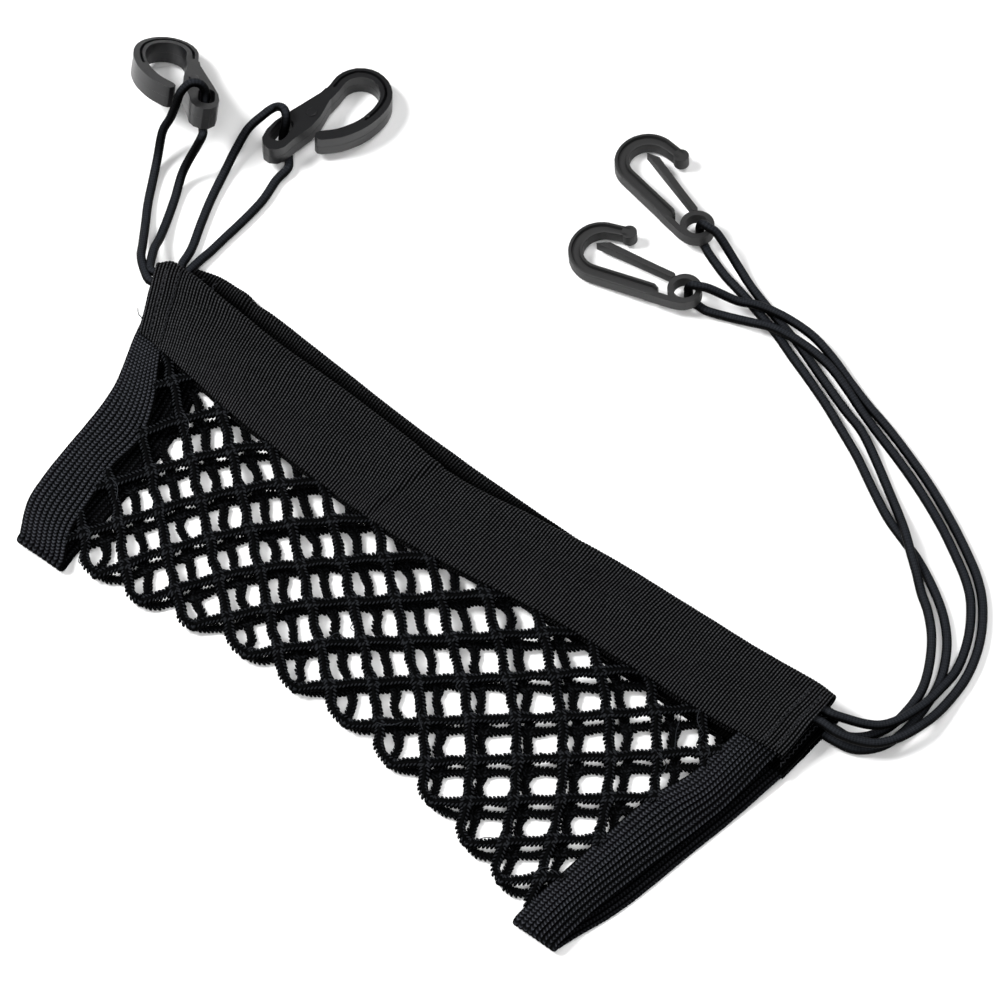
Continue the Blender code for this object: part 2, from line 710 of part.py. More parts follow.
def add_cord(name, route, home):
    """A plain tube along the smooth curve through its route."""
    length = np.linalg.norm(np.diff(route, axis=0), axis=1).sum()
    points = smooth(route, round(length / CORD_STEP) + 1)
    curve = bpy.data.curves.new(name, "CURVE")
    curve.dimensions = "3D"
    curve.bevel_depth = CORD / 2 * MM
    curve.bevel_resolution = CORD_SIDES
    curve.use_fill_caps = True
    spline = curve.splines.new("POLY")
    spline.points.add(len(points) - 1)
    for point, (x, y, z) in zip(spline.points, points * MM):
        point.co = (x, y, z, 1)
    made = bpy.data.objects.new(name, curve)
    home.objects.link(made)
    curve.materials.append(material(name, "braid"))
    return made


def main():
    clear_scene()
    home = collection("seat_back_storage_net")
    cutters = collection("cutters")
    front_rows = casing_rows(FRONT_CASING)
    back_rows = casing_rows(BACK_CASING)
    add_casing("casing_front", front_rows, home)
    add_casing("casing_back", back_rows, home)
    add_band("band_left", LEFT_FRONT, LEFT_BACK, (front_rows, back_rows), home)
    add_band("band_right", RIGHT_FRONT, RIGHT_BACK, (front_rows, back_rows), home)
    add_net(front_rows, back_rows, home, cutters)
    for end, placing in SNAP_HOOKS.items():
        add_snap_hook(f"snap_hook_{end}", placing, end == "front", home)
    for end, placing in J_HOOKS.items():
        add_j_hook(end, placing, -1, home)
    for name in ROUTES:
        route = cord_route(name, {"front": front_rows, "back": back_rows})
        add_cord(name, route, home)


main()
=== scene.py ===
"""A seat back storage net: a knitted mesh folded once along its bottom, two grosgrain casings,
two knitted elastic side bands, and four elastic cord loops with snap hooks and J hooks."""

import math
from contextlib import contextmanager

import bmesh
import bpy
import numpy as np
from mathutils import Euler, Matrix, Vector


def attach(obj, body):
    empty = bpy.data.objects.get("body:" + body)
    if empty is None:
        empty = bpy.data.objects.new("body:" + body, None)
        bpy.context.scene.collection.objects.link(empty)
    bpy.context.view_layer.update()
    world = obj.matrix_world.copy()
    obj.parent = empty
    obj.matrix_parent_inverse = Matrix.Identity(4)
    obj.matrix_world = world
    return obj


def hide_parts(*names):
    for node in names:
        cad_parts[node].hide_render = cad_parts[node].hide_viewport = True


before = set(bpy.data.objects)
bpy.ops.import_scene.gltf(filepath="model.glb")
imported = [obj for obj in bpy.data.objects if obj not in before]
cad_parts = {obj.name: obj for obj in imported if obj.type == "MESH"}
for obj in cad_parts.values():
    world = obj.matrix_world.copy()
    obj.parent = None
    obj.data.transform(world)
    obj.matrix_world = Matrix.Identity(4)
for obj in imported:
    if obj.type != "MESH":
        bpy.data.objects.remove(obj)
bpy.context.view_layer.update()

bl_info = {
    "name": "Seat Back Storage Net",
    "version": (1, 0, 0),
    "blender": (4, 5, 0),
    "location": "3D View > Sidebar > Storage Net",
    "description": "Makes a folded seat back storage net with its cords and hooks",
    "category": "Add Mesh",
}

BODY = "net_body"

MM = 0.001
GAP = 0.3
LEAF = 1.0           # thickness of the casing's ribbon
NET = 1.6            # thickness of the net's sheet, and of the side bands
HEM_ROOM = NET + 3 * GAP
RIB_RISE = 0.2       # height of a grosgrain rib
RIBBON_BODY = LEAF - 0.1   # the ribbon's thickness between its ribs
HEM_FLAT = 8.0       # from a casing's hem, how far the two leaves stay close together
TUCK = 9.0           # how far the net and the bands reach into a casing
LAYER_LOW = NET / 2
LAYER_HIGH = 4.2
DRAPE = 30.0
HEM_LIFT = LEAF + HEM_ROOM / 2
CORD = 3.4
CORD_ROOM = CORD + 2.6 * GAP

# Casings, one row a station: x and y of the folded edge, x and y of the hem, the underside's
# height at each, and the room inside the fold.
FRONT_CASING = (
    (-150.0, 21.5, -137.5, -5.0, 7.6, 5.2, CORD_ROOM),
    (-143.0, 25.5, -129.0, -6.0, 7.6, 5.2, CORD_ROOM),
    (-118.0, 24.0, -108.0, -9.0, 7.0, 5.2, 3.0),
    (-93.0, 22.0, -87.0, -12.0, 6.0, 5.2, 2.8),
    (-64.0, 21.0, -61.0, -14.0, 5.9, 5.2, 2.8),
    (-35.0, 19.0, -33.0, -16.0, 5.9, 5.2, 2.8),
    (-6.0, 16.5, -7.0, -16.0, 5.9, 5.2, 2.8),
    (24.0, 20.0, 22.0, -13.0, 5.9, 5.2, 2.8),
    (55.0, 23.0, 53.0, -9.5, 5.9, 5.2, 2.8),
    (88.0, 24.0, 86.0, -8.0, 6.2, 5.2, 2.8),
    (118.0, 24.0, 116.0, -7.5, 7.6, 5.2, 3.0),
    (142.0, 25.0, 138.0, -5.5, 8.1, 5.2, CORD_ROOM),
    (151.0, 24.5, 149.0, -4.5, 8.1, 5.2, CORD_ROOM),
)
BACK_CASING = (
    (-140.0, 31.5, -133.0, 0.0, 0.0, 0.0, CORD_ROOM),
    (-128.0, 34.0, -122.0, 1.0, 0.0, 0.0, CORD_ROOM),
    (-105.0, 33.0, -100.0, -1.0, 0.0, 0.0, 3.0),
    (-75.0, 30.5, -72.0, -3.0, 0.0, 0.0, 2.8),
    (-48.0, 28.0, -46.0, -5.0, 0.0, 0.0, 2.8),
    (-16.0, 26.0, -16.0, -7.0, 0.0, 0.0, 2.8),
    (16.0, 25.0, 15.0, -8.5, 0.0, 0.0, 2.8),
    (50.0, 24.5, 49.0, -8.5, 0.0, 0.0, 2.8),
    (85.0, 24.0, 84.0, -9.0, 0.0, 0.0, 2.8),
    (118.0, 23.5, 117.0, -9.0, 0.0, 0.0, 3.0),
    (145.0, 23.5, 143.0, -8.0, 0.0, 0.0, CORD_ROOM),
    (155.0, 23.0, 152.0, -8.0, 0.0, 0.0, CORD_ROOM),
)

# Side bands, one row a station down each half: y, x of the left edge, x of the right edge.
LEFT_FRONT = (
    (6.0, -141.5, -128.5),
    (-5.0, -138.5, -127.0),
    (-24.0, -132.0, -115.0),
    (-38.0, -130.0, -110.0),
    (-53.0, -129.0, -110.5),
    (-68.0, -128.0, -108.0),
    (-82.0, -125.5, -105.5),
    (-94.0, -119.0, -99.0),
)
LEFT_BACK = (
    (11.0, -130.0, -114.0),
    (0.0, -127.5, -111.0),
    (-24.0, -123.0, -103.0),
    (-53.0, -120.0, -100.5),
    (-82.0, -119.0, -100.0),
    (-94.0, -119.0, -99.0),
)
RIGHT_FRONT = (
    (6.0, 132.0, 147.0),
    (-5.0, 131.0, 146.0),
    (-27.0, 127.0, 143.5),
    (-42.0, 121.0, 140.5),
    (-63.0, 117.0, 135.5),
    (-83.0, 114.0, 131.0),
    (-96.0, 112.0, 129.0),
    (-106.0, 111.0, 128.0),
)
RIGHT_BACK = (
    (1.0, 136.0, 152.5),
    (-8.0, 135.5, 151.5),
    (-30.0, 130.5, 147.5),
    (-49.0, 126.5, 143.5),
    (-80.0, 120.0, 137.0),
    (-100.0, 113.0, 130.0),
    (-106.0, 111.0, 128.0),
)

# The net's bottom fold, as x and y.
NET_FOLD = (
    (-99.0, -91.0),
    (-84.0, -93.5),
    (-63.0, -90.0),
    (-43.0, -86.0),
    (-22.0, -85.0),
    (1.0, -84.5),
    (22.0, -85.5),
    (40.0, -88.0),
    (61.0, -91.0),
    (78.0, -96.0),
    (96.0, -100.5),
    (111.0, -103.0),
)

# The net's cells: which way its cross lines run, and the middle of one cell.
CELL_TURN = math.radians(37.0)
FIRST_CELL = (30.8, -65.3)

SNAP_THICK = 8.5
SNAP_CHANNEL = 1.1   # width of the channel in a snap hook's face
SNAP_GROOVE = (
    (27.6, 9.2), (32.7, 11.6), (38.4, 11.4), (43.0, 7.8), (44.5, 2.2),
    (43.0, -3.2), (39.2, -7.0), (34.0, -9.7), (30.0, -10.8),
)
SNAP_BOSS = (13.8, 1.8)
BOSS_RADIUS = 1.9
BOSS_PROUD = 0.55    # how far each boss stands out of its face
SNAP_NUB = (18.2, -9.6)
SNAP_NUB_LOW = 2.6
J_THICK = 5.0
J_SHANK_Y = -4.5
J_ARM_Y = 15.5
J_BOW_X = 35.0
J_SHANK_END = 11.4
J_ARM_END = (28.7, 16.2)
J_EYE = (4.3, 6.4)   # inner and outer radius
J_WIDTH = 5.5
J_TIP_WIDTH = 4.4
J_TAPER_START = 0.74   # along the bar's middle line, where it starts to narrow to its tip
J_TAPER_REACH = 0.22
J_ROOT_TAPER = 2.2     # how much narrower its first end is
J_ROOT_REACH = 0.03
J_KNOB = 2.9
J_RIM = 1.15
J_CHANNEL = 1.3
NECK_WIDTH = 2.2
MIRRORED = Matrix.Diagonal((1, -1, 1, 1))

# Snap hooks lie on the left, J hooks on the right. Each row is the middle of the hook's eye
# and the height of its underside there, then its heading, pitch and roll in degrees.
SNAP_HOOKS = {
    "front": (-175.1, 79.4, 17.4, 160.0, 18.0, 22.0),
    "back": (-150.2, 94.0, 3.8, 67.0, 4.0, -4.0),
}
J_HOOKS = {
    "front": (10.3, 130.4, 4.0, 193.7, 4.6, 0.0),
    "back": (-2.4, 155.8, 4.0, 165.6, 4.6, 0.0),
}

# A cord's way through an eye, in the hook's own plane: x towards its far end, y to its left,
# height above its underside.
PASSES = {
    "snap_front": (
        (7.4, 12.4, -9.0), (6.7, 10.2, -3.0), (6.1, 8.9, 3.0), (5.7, 7.9, 8.0),
        (4.9, 4.8, 11.9), (3.5, 1.2, 11.8), (2.2, -0.9, 8.6), (1.0, -0.5, 4.6),
        (-0.8, 0.4, 1.8), (-2.3, 1.3, -1.4), (-4.6, 2.5, -2.7), (-9.0, 5.0, -2.7),
    ),
    "snap_back": (
        (2.2, 9.8, 9.8), (4.0, 6.8, 11.8), (3.8, 3.6, 11.6), (2.4, 1.4, 8.2),
        (1.2, 0.7, 5.0), (0.3, -0.1, 1.8), (0.4, -1.1, -1.7), (0.6, -3.0, -2.3),
        (-0.6, -6.4, -2.1), (-3.0, -10.0, -2.1),
    ),
    "j": (
        (-9.5, 2.2, -2.1), (-5.6, 1.0, -2.3), (-2.9, 0.5, -2.2), (-1.5, 0.2, -0.3),
        (-1.5, 0.0, 2.5), (-1.5, -0.2, 5.3), (-2.9, -0.5, 7.5), (-5.6, -1.0, 7.6),
        (-9.5, -2.2, 6.0),
    ),
}

# Where each cord's two ends lie in its casing's end, as distances from the hem, and how
# far in they reach.
CORD_ENDS = {
    "cord_left_front": ("front", 0, 21.2, 25.2),
    "cord_left_back": ("back", 0, 24.6, 28.6),
    "cord_right_front": ("front", -1, 22.4, 17.9),
    "cord_right_back": ("back", -1, 25.6, 21.6),
}
CORD_INSIDE = 9.0

# Free run of each cord to its hook and back: x, y and height of the middle.
ROUTES = {
    "cord_left_front": (
        (
            (-157.5, 20.4, 8.4), (-162.5, 27.0, 5.6), (-168.5, 35.5, 3.0), (-174.0, 43.5, 2.0),
            (-179.3, 52.8, 1.9), (-183.2, 60.6, 4.4),
        ),
        (
            (-169.6, 67.6, 14.6), (-170.6, 64.2, 9.8), (-170.8, 60.4, 5.8), (-169.6, 56.2, 3.0),
            (-167.6, 51.6, 1.9), (-163.5, 42.0, 2.2), (-159.5, 33.0, 4.4), (-156.8, 27.0, 7.6),
        ),
    ),
    "cord_left_back": (
        (
            (-146.0, 29.0, 2.8), (-148.4, 38.0, 1.9), (-152.8, 49.0, 1.8), (-156.8, 60.0, 1.8),
            (-159.8, 71.0, 2.6), (-161.8, 80.6, 5.0), (-162.4, 89.0, 8.6), (-160.4, 95.4, 11.8),
        ),
        (
            (-142.6, 81.0, 1.8), (-141.0, 71.0, 1.8), (-141.0, 60.0, 1.8), (-141.6, 50.0, 1.8),
            (-142.0, 41.5, 1.9), (-142.4, 35.6, 2.4),
        ),
    ),
    "cord_right_front": (
        (
            (158.2, 20.4, 9.0), (164.1, 23.4, 7.4), (168.6, 27.0, 6.2), (171.8, 31.8, 5.8),
            (174.2, 37.5, 5.7), (176.0, 44.0, 5.7), (176.8, 52.0, 5.0), (176.6, 61.7, 2.6),
            (174.3, 71.1, 1.8), (170.4, 80.1, 1.8), (164.8, 88.7, 1.8), (159.0, 94.4, 1.8),
            (152.4, 99.2, 1.8), (140.0, 107.2, 1.8), (126.0, 114.6, 1.8), (113.0, 120.4, 1.8),
            (100.4, 125.4, 1.8), (90.0, 129.6, 2.2), (80.0, 133.4, 4.2), (71.0, 136.4, 5.6),
            (62.0, 138.0, 5.8), (53.0, 138.4, 5.8), (44.0, 137.4, 5.7), (36.0, 135.4, 4.0),
            (28.0, 133.6, 2.0),
        ),
        (
            (27.5, 138.6, 6.6), (34.0, 141.8, 5.9), (42.0, 143.6, 5.8), (51.0, 144.0, 5.8),
            (60.0, 143.2, 5.4), (70.0, 140.6, 4.0), (80.0, 137.0, 2.4), (90.0, 133.4, 1.8),
            (102.0, 129.4, 1.8), (114.6, 124.4, 1.8), (128.0, 118.4, 1.8), (142.4, 110.6, 1.8),
            (155.0, 102.6, 1.8), (162.2, 97.2, 1.8), (168.4, 90.8, 1.8), (174.2, 82.0, 1.8),
            (178.4, 72.4, 1.8), (180.8, 62.0, 1.8), (181.2, 52.0, 2.2), (180.8, 43.0, 3.8),
            (179.4, 35.0, 5.6), (176.4, 27.0, 6.2), (172.4, 21.0, 6.6), (168.4, 17.8, 7.2),
            (163.6, 15.4, 8.2), (158.5, 13.8, 9.4),
        ),
    ),
    "cord_right_back": (
        (
            (161.5, 18.4, 2.2), (166.4, 22.8, 1.8), (170.2, 30.0, 1.8), (171.6, 38.7, 1.8),
            (171.2, 48.5, 1.8), (167.9, 58.1, 1.8), (162.2, 68.1, 1.8), (155.6, 75.6, 1.8),
            (149.5, 80.4, 2.2), (144.0, 85.0, 4.4), (138.0, 90.0, 5.8), (132.0, 95.4, 5.8),
            (126.0, 100.8, 3.6), (117.0, 107.8, 1.9), (106.0, 115.6, 1.8), (95.0, 122.6, 1.8),
            (85.0, 126.4, 1.8), (75.0, 130.6, 1.8), (66.0, 134.6, 1.8), (56.0, 139.0, 1.8),
            (46.0, 142.6, 1.8), (37.0, 145.6, 1.8), (27.0, 149.0, 2.6), (18.0, 152.6, 4.6),
        ),
        (
            (16.0, 147.6, 1.9), (26.0, 144.8, 1.8), (36.0, 141.6, 1.8), (46.0, 138.2, 1.8),
            (56.0, 133.8, 1.8), (67.0, 129.2, 1.8), (77.6, 124.4, 1.8), (87.4, 119.4, 1.8),
            (99.4, 113.0, 1.8), (111.0, 105.6, 1.8), (122.4, 98.8, 1.8), (131.8, 94.8, 1.8),
            (140.4, 91.2, 1.8), (148.6, 86.6, 1.8), (155.8, 81.7, 1.8), (162.0, 76.4, 1.8),
            (167.6, 69.7, 1.8), (172.0, 61.7, 1.8), (174.8, 53.3, 1.8), (175.8, 44.0, 1.8),
            (175.6, 33.0, 1.8), (173.2, 24.0, 1.8), (169.0, 18.2, 1.8), (164.0, 15.0, 1.9),
        ),
    ),
}
CORD_HOOKS = {
    "cord_left_front": (SNAP_HOOKS["front"], "snap_front", 1),
    "cord_left_back": (SNAP_HOOKS["back"], "snap_back", 1),
    "cord_right_front": (J_HOOKS["front"], "j", 1),
    "cord_right_back": (J_HOOKS["back"], "j", -1),
}


# ------------------------------------------------------------------------------ shapes


def smooth(rows, count):
    """Rows read from the smooth curve through the given ones, evenly by chord length."""
    rows = np.array(rows, float)
    ends = np.vstack([2 * rows[0] - rows[1], rows, 2 * rows[-1] - rows[-2]])
    fine = []
    for index in range(len(rows) - 1):
        before, start, stop, after = ends[index : index + 4]
        for t in np.linspace(0, 1, 12, endpoint=False):
            fine.append(
                0.5
                * (
                    2 * start
                    + (stop - before) * t
                    + (2 * before - 5 * start + 4 * stop - after) * t**2
                    + (3 * start - before - 3 * stop + after) * t**3
                )
            )
    fine = np.array(fine + [rows[-1]])
    along = lengths_along(fine)
    return read_at(fine, along, np.linspace(0, along[-1], count))


def ease(value):
    value = np.clip(value, 0, 1)
    return value * value * (3 - 2 * value)


def ripple(x, y, seed, size):
    """A smooth, repeatable unevenness from -1 to 1, with features about size millimetres long."""
    k = 2 * math.pi / size
    return (
        np.sin(k * (x + 0.31 * y) + seed)
        + np.sin(k * (0.62 * x - 0.83 * y) + 2.1 * seed + 1.3)
        + np.sin(k * (1.7 * y - 0.4 * x) + 3.7 * seed + 0.4)
    ) / 3


def lengths_along(points):
    steps = np.linalg.norm(np.diff(points, axis=0), axis=1)
    return np.concatenate([[0], np.cumsum(steps)])


def read_at(line, along, wanted):
    """The line's rows at the wanted lengths, where along holds each row's own length."""
    return np.stack([np.interp(wanted, along, column) for column in line.T], axis=1)


def sideways(middle):
    """Unit steps to the left of a flat line."""
    ahead = np.gradient(middle, axis=0)
    ahead /= np.linalg.norm(ahead, axis=1)[:, None]
    return np.stack([-ahead[:, 1], ahead[:, 0]], axis=1)


def linked(name, data):
    """A new object in the scene, round a mesh, curve, lamp or camera."""
    made = bpy.data.objects.new(name, data)
    bpy.context.scene.collection.objects.link(made)
    return made


def new_object(name, points, faces, uvs=None, finish=None):
    """A mesh object from millimetres. uvs holds one pair for each point."""
    data = bpy.data.meshes.new(name)
    data.from_pydata([tuple(p) for p in np.asarray(points, float) * MM], [], faces)
    if uvs is not None:
        layer = data.uv_layers.new(name="Yarn")
        corner = np.empty(len(data.loops), np.int32)
        data.loops.foreach_get("vertex_index", corner)
        layer.data.foreach_set("uv", np.asarray(uvs, np.float32)[corner].ravel())
    data.validate()
    data.shade_smooth()
    if finish is not None:
        data.materials.append(finish)
    return linked(name, data)


def sheet_object(name, grid, uvs, thick, finish):
    """A closed sheet of even thickness round a grid of points in millimetres."""
    grid = np.asarray(grid, float)
    rows, columns = grid.shape[:2]
    number = np.arange(rows * columns).reshape(rows, columns)
    faces = np.stack(
        [number[:-1, :-1], number[1:, :-1], number[1:, 1:], number[:-1, 1:]], axis=-1
    ).reshape(-1, 4)
    made = new_object(
        name, grid.reshape(-1, 3), faces.tolist(), np.asarray(uvs).reshape(-1, 2), finish
    )
    solid = made.modifiers.new("Thickness", "SOLIDIFY")
    solid.thickness = thick * MM
    solid.offset = 0
    solid.use_even_offset = True
    return made


def tube(name, path, radius, finish, sides):
    """A closed round tube along millimetre points, with u round it and v its length in mm."""
    path = np.asarray(path, float)
    radius = np.broadcast_to(np.asarray(radius, float), len(path))
    ahead = np.gradient(path, axis=0)
    ahead /= np.linalg.norm(ahead, axis=1)[:, None]
    side = np.cross(ahead[0], (0, 0, 1.0))
    if np.linalg.norm(side) < 1e-3:
        side = np.cross(ahead[0], (0, 1.0, 0))
    along = lengths_along(path)
    points, uvs = [], []
    for index, (place, way) in enumerate(zip(path, ahead)):
        side = side - way * side.dot(way)
        side /= np.linalg.norm(side)
        over = np.cross(side, way)
        for step in range(sides + 1):
            turn = 2 * math.pi * step / sides
            points.append(
                place + radius[index] * (math.cos(turn) * side + math.sin(turn) * over)
            )
            uvs.append((step / sides, along[index]))
    faces = []
    ring = sides + 1
    for i in range(len(path) - 1):
        for j in range(sides):
            low = i * ring + j
            faces.append((low, low + 1, low + ring + 1, low + ring))
    for end, step in ((0, -1), (len(path) - 1, 1)):
        points.append(path[end] + ahead[end] * step * radius[end] * 0.5)
        uvs.append((0.5, along[end]))
        hub = len(points) - 1
        for j in range(sides):
            low = end * ring + j
            faces.append((low + 1, low, hub) if step < 0 else (low, low + 1, hub))
    return welded(new_object(name, points, faces, uvs, finish))


@contextmanager
def edited(data, *sources):
    """The mesh for editing, read from the sources or from itself and written back after."""
    mesh = bmesh.new()
    for source in sources or (data,):
        mesh.from_mesh(source)
    yield mesh
    mesh.to_mesh(data)
    mesh.free()


def welded(made):
    with edited(made.data) as mesh:
        bmesh.ops.remove_doubles(mesh, verts=mesh.verts, dist=1e-6)
        bmesh.ops.recalc_face_normals(mesh, faces=mesh.faces)
    return made


def frozen(made):
    """Turns an object into the plain mesh that its modifiers give."""
    graph = bpy.context.evaluated_depsgraph_get()
    data = bpy.data.meshes.new_from_object(made.evaluated_get(graph))
    name = made.name
    bpy.data.objects.remove(made, do_unlink=True)
    return linked(name, data)


def merged(name, parts, finish, place=None):
    """One smooth object from these parts, which are removed, put in its place."""
    data = bpy.data.meshes.new(name)
    with edited(data, *(part.data for part in parts)) as mesh:
        if place is not None:
            mesh.transform(place)
            if place.determinant() < 0:
                bmesh.ops.reverse_faces(mesh, faces=mesh.faces)
    for part in parts:
        bpy.data.objects.remove(part, do_unlink=True)
    data.materials.append(finish)
    data.shade_smooth()
    return linked(name, data)


# --------------------------------------------------------------------------- materials


def put(tree, kind, settings=None, **inputs):
    """A node with its settings, and with its inputs given by name or by number (_0, _1)."""
    node = tree.nodes.new(kind)
    for key, value in (settings or {}).items():
        setattr(node, key, value)
    for key, value in inputs.items():
        socket = node.inputs[int(key[1:]) if key[0] == "_" else key.replace("_", " ")]
        if isinstance(value, bpy.types.NodeSocket):
            tree.links.new(value, socket)
        else:
            socket.default_value = value
    return node


def darker(colour, share):
    return tuple(channel * share for channel in colour)


class Finish:
    """A material in the making. Its methods add nodes, and take and give their sockets."""

    def __init__(self, name, rough, specular, coat=0.0):
        self.material = bpy.data.materials.new(name)
        self.material.use_nodes = True
        self.tree = self.material.node_tree
        self.shader = self.tree.nodes["Principled BSDF"].inputs
        self.shader["Roughness"].default_value = rough
        self.shader["Specular IOR Level"].default_value = specular
        self.shader["Coat Weight"].default_value = coat

    def put(self, kind, settings=None, **inputs):
        return put(self.tree, kind, settings, **inputs).outputs

    def maths(self, operation, *values):
        inputs = {f"_{index}": value for index, value in enumerate(values)}
        return self.put("ShaderNodeMath", {"operation": operation}, **inputs)[0]

    def times(self, first, second):
        return self.maths("MULTIPLY", first, second)

    def power(self, value, exponent):
        return self.maths("POWER", value, exponent)

    def fitted(self, value, scale, offset):
        """The value times scale, plus offset."""
        return self.maths("MULTIPLY_ADD", value, scale, offset)

    def wave(self, turn):
        """The turn's sine, from 0 to 1."""
        return self.fitted(self.maths("SINE", turn), 0.5, 0.5)

    def yarn_axes(self):
        place = self.put("ShaderNodeUVMap", {"uv_map": "Yarn"})[0]
        split = self.put("ShaderNodeSeparateXYZ", _0=place)
        return split[0], split[1]

    def noise(self, size, detail=2.0, rough=0.5):
        """Noise on object coordinates, with features about size millimetres across."""
        place = self.put("ShaderNodeTexCoord")["Object"]
        return self.put(
            "ShaderNodeTexNoise",
            Vector=place, Scale=1000 / size, Detail=detail, Roughness=rough,
        )["Fac"]

    def painted_top_light(self, low):
        """From 0 on sides and undersides to 1 on top: painted top light, lighter on top and darker
        on the sides as if lit from above.
        """
        normal = self.put("ShaderNodeNewGeometry")["Normal"]
        up = self.put("ShaderNodeSeparateXYZ", _0=normal)[2]
        smoothly = {"interpolation_type": "SMOOTHSTEP"}
        return self.put("ShaderNodeMapRange", smoothly, _0=up, _1=low, _2=1.0)[0]

    def done(self, tone, colour, groove, ridge, height, rise, strength=1.0):
        """Colours it from groove to ridge times the colour, and raises it by rise mm."""
        base = self.put(
            "ShaderNodeMix", {"data_type": "RGBA"},
            _0=tone, _6=(*darker(colour, groove), 1), _7=(*darker(colour, ridge), 1),
        )[2]
        self.tree.links.new(base, self.shader["Base Color"])
        bump = self.put("ShaderNodeBump", Strength=strength, Distance=rise * MM, Height=height)
        self.tree.links.new(bump[0], self.shader["Normal"])
        return self.material


CLOTH_ROUGH = 0.6
CLOTH_SPECULAR = 0.015
BINDER_PITCH = 1.15  # along a grosgrain rib, from one binding yarn to the next, in mm


def ribbon_finish(name, colour, rib_pitch):
    """Grosgrain: ribs across the ribbon, each bound by fine lengthways yarns, with painted shade in
    the grooves and painted highlight on the ribs.
    """
    made = Finish(name, CLOTH_ROUGH, CLOTH_SPECULAR)
    u, v = made.yarn_axes()
    rib = made.wave(made.times(u, 2 * math.pi / rib_pitch))
    row = made.maths("FLOOR", made.maths("DIVIDE", u, rib_pitch))
    stagger = made.times(row, math.pi)
    fine = made.wave(made.fitted(v, 2 * math.pi / BINDER_PITCH, stagger))
    ridge = made.power(rib, 0.7)
    height = made.fitted(made.times(fine, ridge), 0.6, ridge)
    # painted shade and highlight: the colour runs from nearly black in the grooves to bright on the
    # ribs and binders
    tone = made.times(made.power(rib, 5.0), made.fitted(fine, 0.7, 0.3))
    tone = made.times(tone, made.fitted(made.noise(1.4, 3.0), 1.2, 0.35))
    # painted shadow: this attribute is 0 where the front casing's shade falls on the back casing,
    # darkening the colour there
    clear = made.put("ShaderNodeAttribute", {"attribute_name": "clear"})["Fac"]
    tone = made.times(tone, made.fitted(clear, 0.98, 0.02))
    return made.done(tone, colour, 0.03, 13.0, height, 0.34)


def knit_finish(name, colour):
    """Dull textured yarn, for the knitted stitches of the mesh."""
    made = Finish(name, CLOTH_ROUGH, CLOTH_SPECULAR)
    fibre = made.noise(0.5, 3.0, 0.65)
    tone = made.fitted(made.noise(7.0), 0.6, made.times(fibre, 0.8))
    # painted top light: the yarn's tops are lighter and its sides darker
    tone = made.times(tone, made.painted_top_light(0.5))
    return made.done(tone, colour, 0.05, 5.5, fibre, 0.16, 0.5)


def elastic_finish(name, colour, rib_pitch, stitch_pitch, fold):
    """Knitted elastic: rows of small chevrons along the band, with painted shade between the
    stitches, painted highlight on them, and painted shade past its fold.
    """
    made = Finish(name, CLOTH_ROUGH, CLOTH_SPECULAR)
    u, v = made.yarn_axes()
    wobble = made.times(made.noise(6.0), 0.25)
    across = made.maths("FRACT", made.maths("DIVIDE", u, rib_pitch))
    from_middle = made.maths("ABSOLUTE", made.maths("SUBTRACT", across, 0.5))
    slant = made.fitted(from_middle, 1.7, made.maths("ADD", v, wobble))
    stitch = made.wave(made.times(slant, 2 * math.pi / stitch_pitch))
    wale = made.power(made.maths("SINE", made.times(across, math.pi)), 0.8)
    height = made.fitted(stitch, 0.55, wale)
    # painted shade and highlight: the colour runs from nearly black between the wales and stitches
    # to bright on their tops
    bright = made.fitted(made.power(stitch, 2.6), 0.9, 0.1)
    tone = made.times(made.power(wale, 3.6), bright)
    tone = made.times(tone, made.fitted(made.noise(1.5, 3.0), 1.0, 0.45))
    # painted shade: the band's back half, past the fold, is darkened as if in shade under the front
    # half
    painted_under_shade = made.put("ShaderNodeMapRange", _0=v, _1=fold - 2, _2=fold + 8, _3=1.0, _4=0.22)[0]
    tone = made.times(tone, painted_under_shade)
    return made.done(tone, colour, 0.03, 11.0, height, 0.4)


def braid_finish(name, colour, carriers, lay_length):
    """A tight braided sheath: two sets of yarns wound round the cord against each other."""
    made = Finish(name, 0.5, 0.03)
    u, v = made.yarn_axes()
    round_it = made.times(u, carriers)
    along = made.maths("DIVIDE", v, lay_length)
    right, left = (
        made.maths("SINE", made.times(made.maths(way, round_it, along), 2 * math.pi))
        for way in ("ADD", "SUBTRACT")
    )
    height = made.fitted(made.times(right, left), 0.5, 0.5)
    # half the tone is random, half follows the braid's height: painted shade between the yarns and
    # painted highlight on them
    tone = made.fitted(made.noise(0.9, 3.0), 0.5, made.times(height, 0.5))
    # painted top light: the cord's tops are lighter and its sides darker
    tone = made.times(tone, made.painted_top_light(0.45))
    return made.done(tone, colour, 0.05, 5.5, height, 0.12)


def moulded_finish(name, colour, rough, grain, coat=0.0):
    """Injection moulded plastic with a fine satin grain and slight handling wear."""
    made = Finish(name, rough, 0.4, coat)
    fine = made.noise(grain, 4.0, 0.6)
    tone = made.fitted(made.noise(11.0), 0.7, made.times(fine, 0.3))
    made.tree.links.new(made.fitted(fine, 0.22, rough - 0.1), made.shader["Roughness"])
    return made.done(tone, colour, 0.7, 1.3, fine, 0.03, 0.6)


def plain_finish(name, colour, rough):
    made = Finish(name, rough, 0.4)
    made.shader["Base Color"].default_value = (*colour, 1)
    return made.material


# ------------------------------------------------------------------------ geometry nodes


def geometry_tree(name, sizes):
    """A new tree with a geometry input and output and the named sizes."""
    tree = bpy.data.node_groups.new(name, "GeometryNodeTree")
    tree.interface.new_socket("Geometry", in_out="INPUT", socket_type="NodeSocketGeometry")
    for label, kind, value in sizes:
        socket = tree.interface.new_socket(label, in_out="INPUT", socket_type=kind)
        if value is not None:
            socket.default_value = value
    tree.interface.new_socket("Geometry", in_out="OUTPUT", socket_type="NodeSocketGeometry")
    return tree


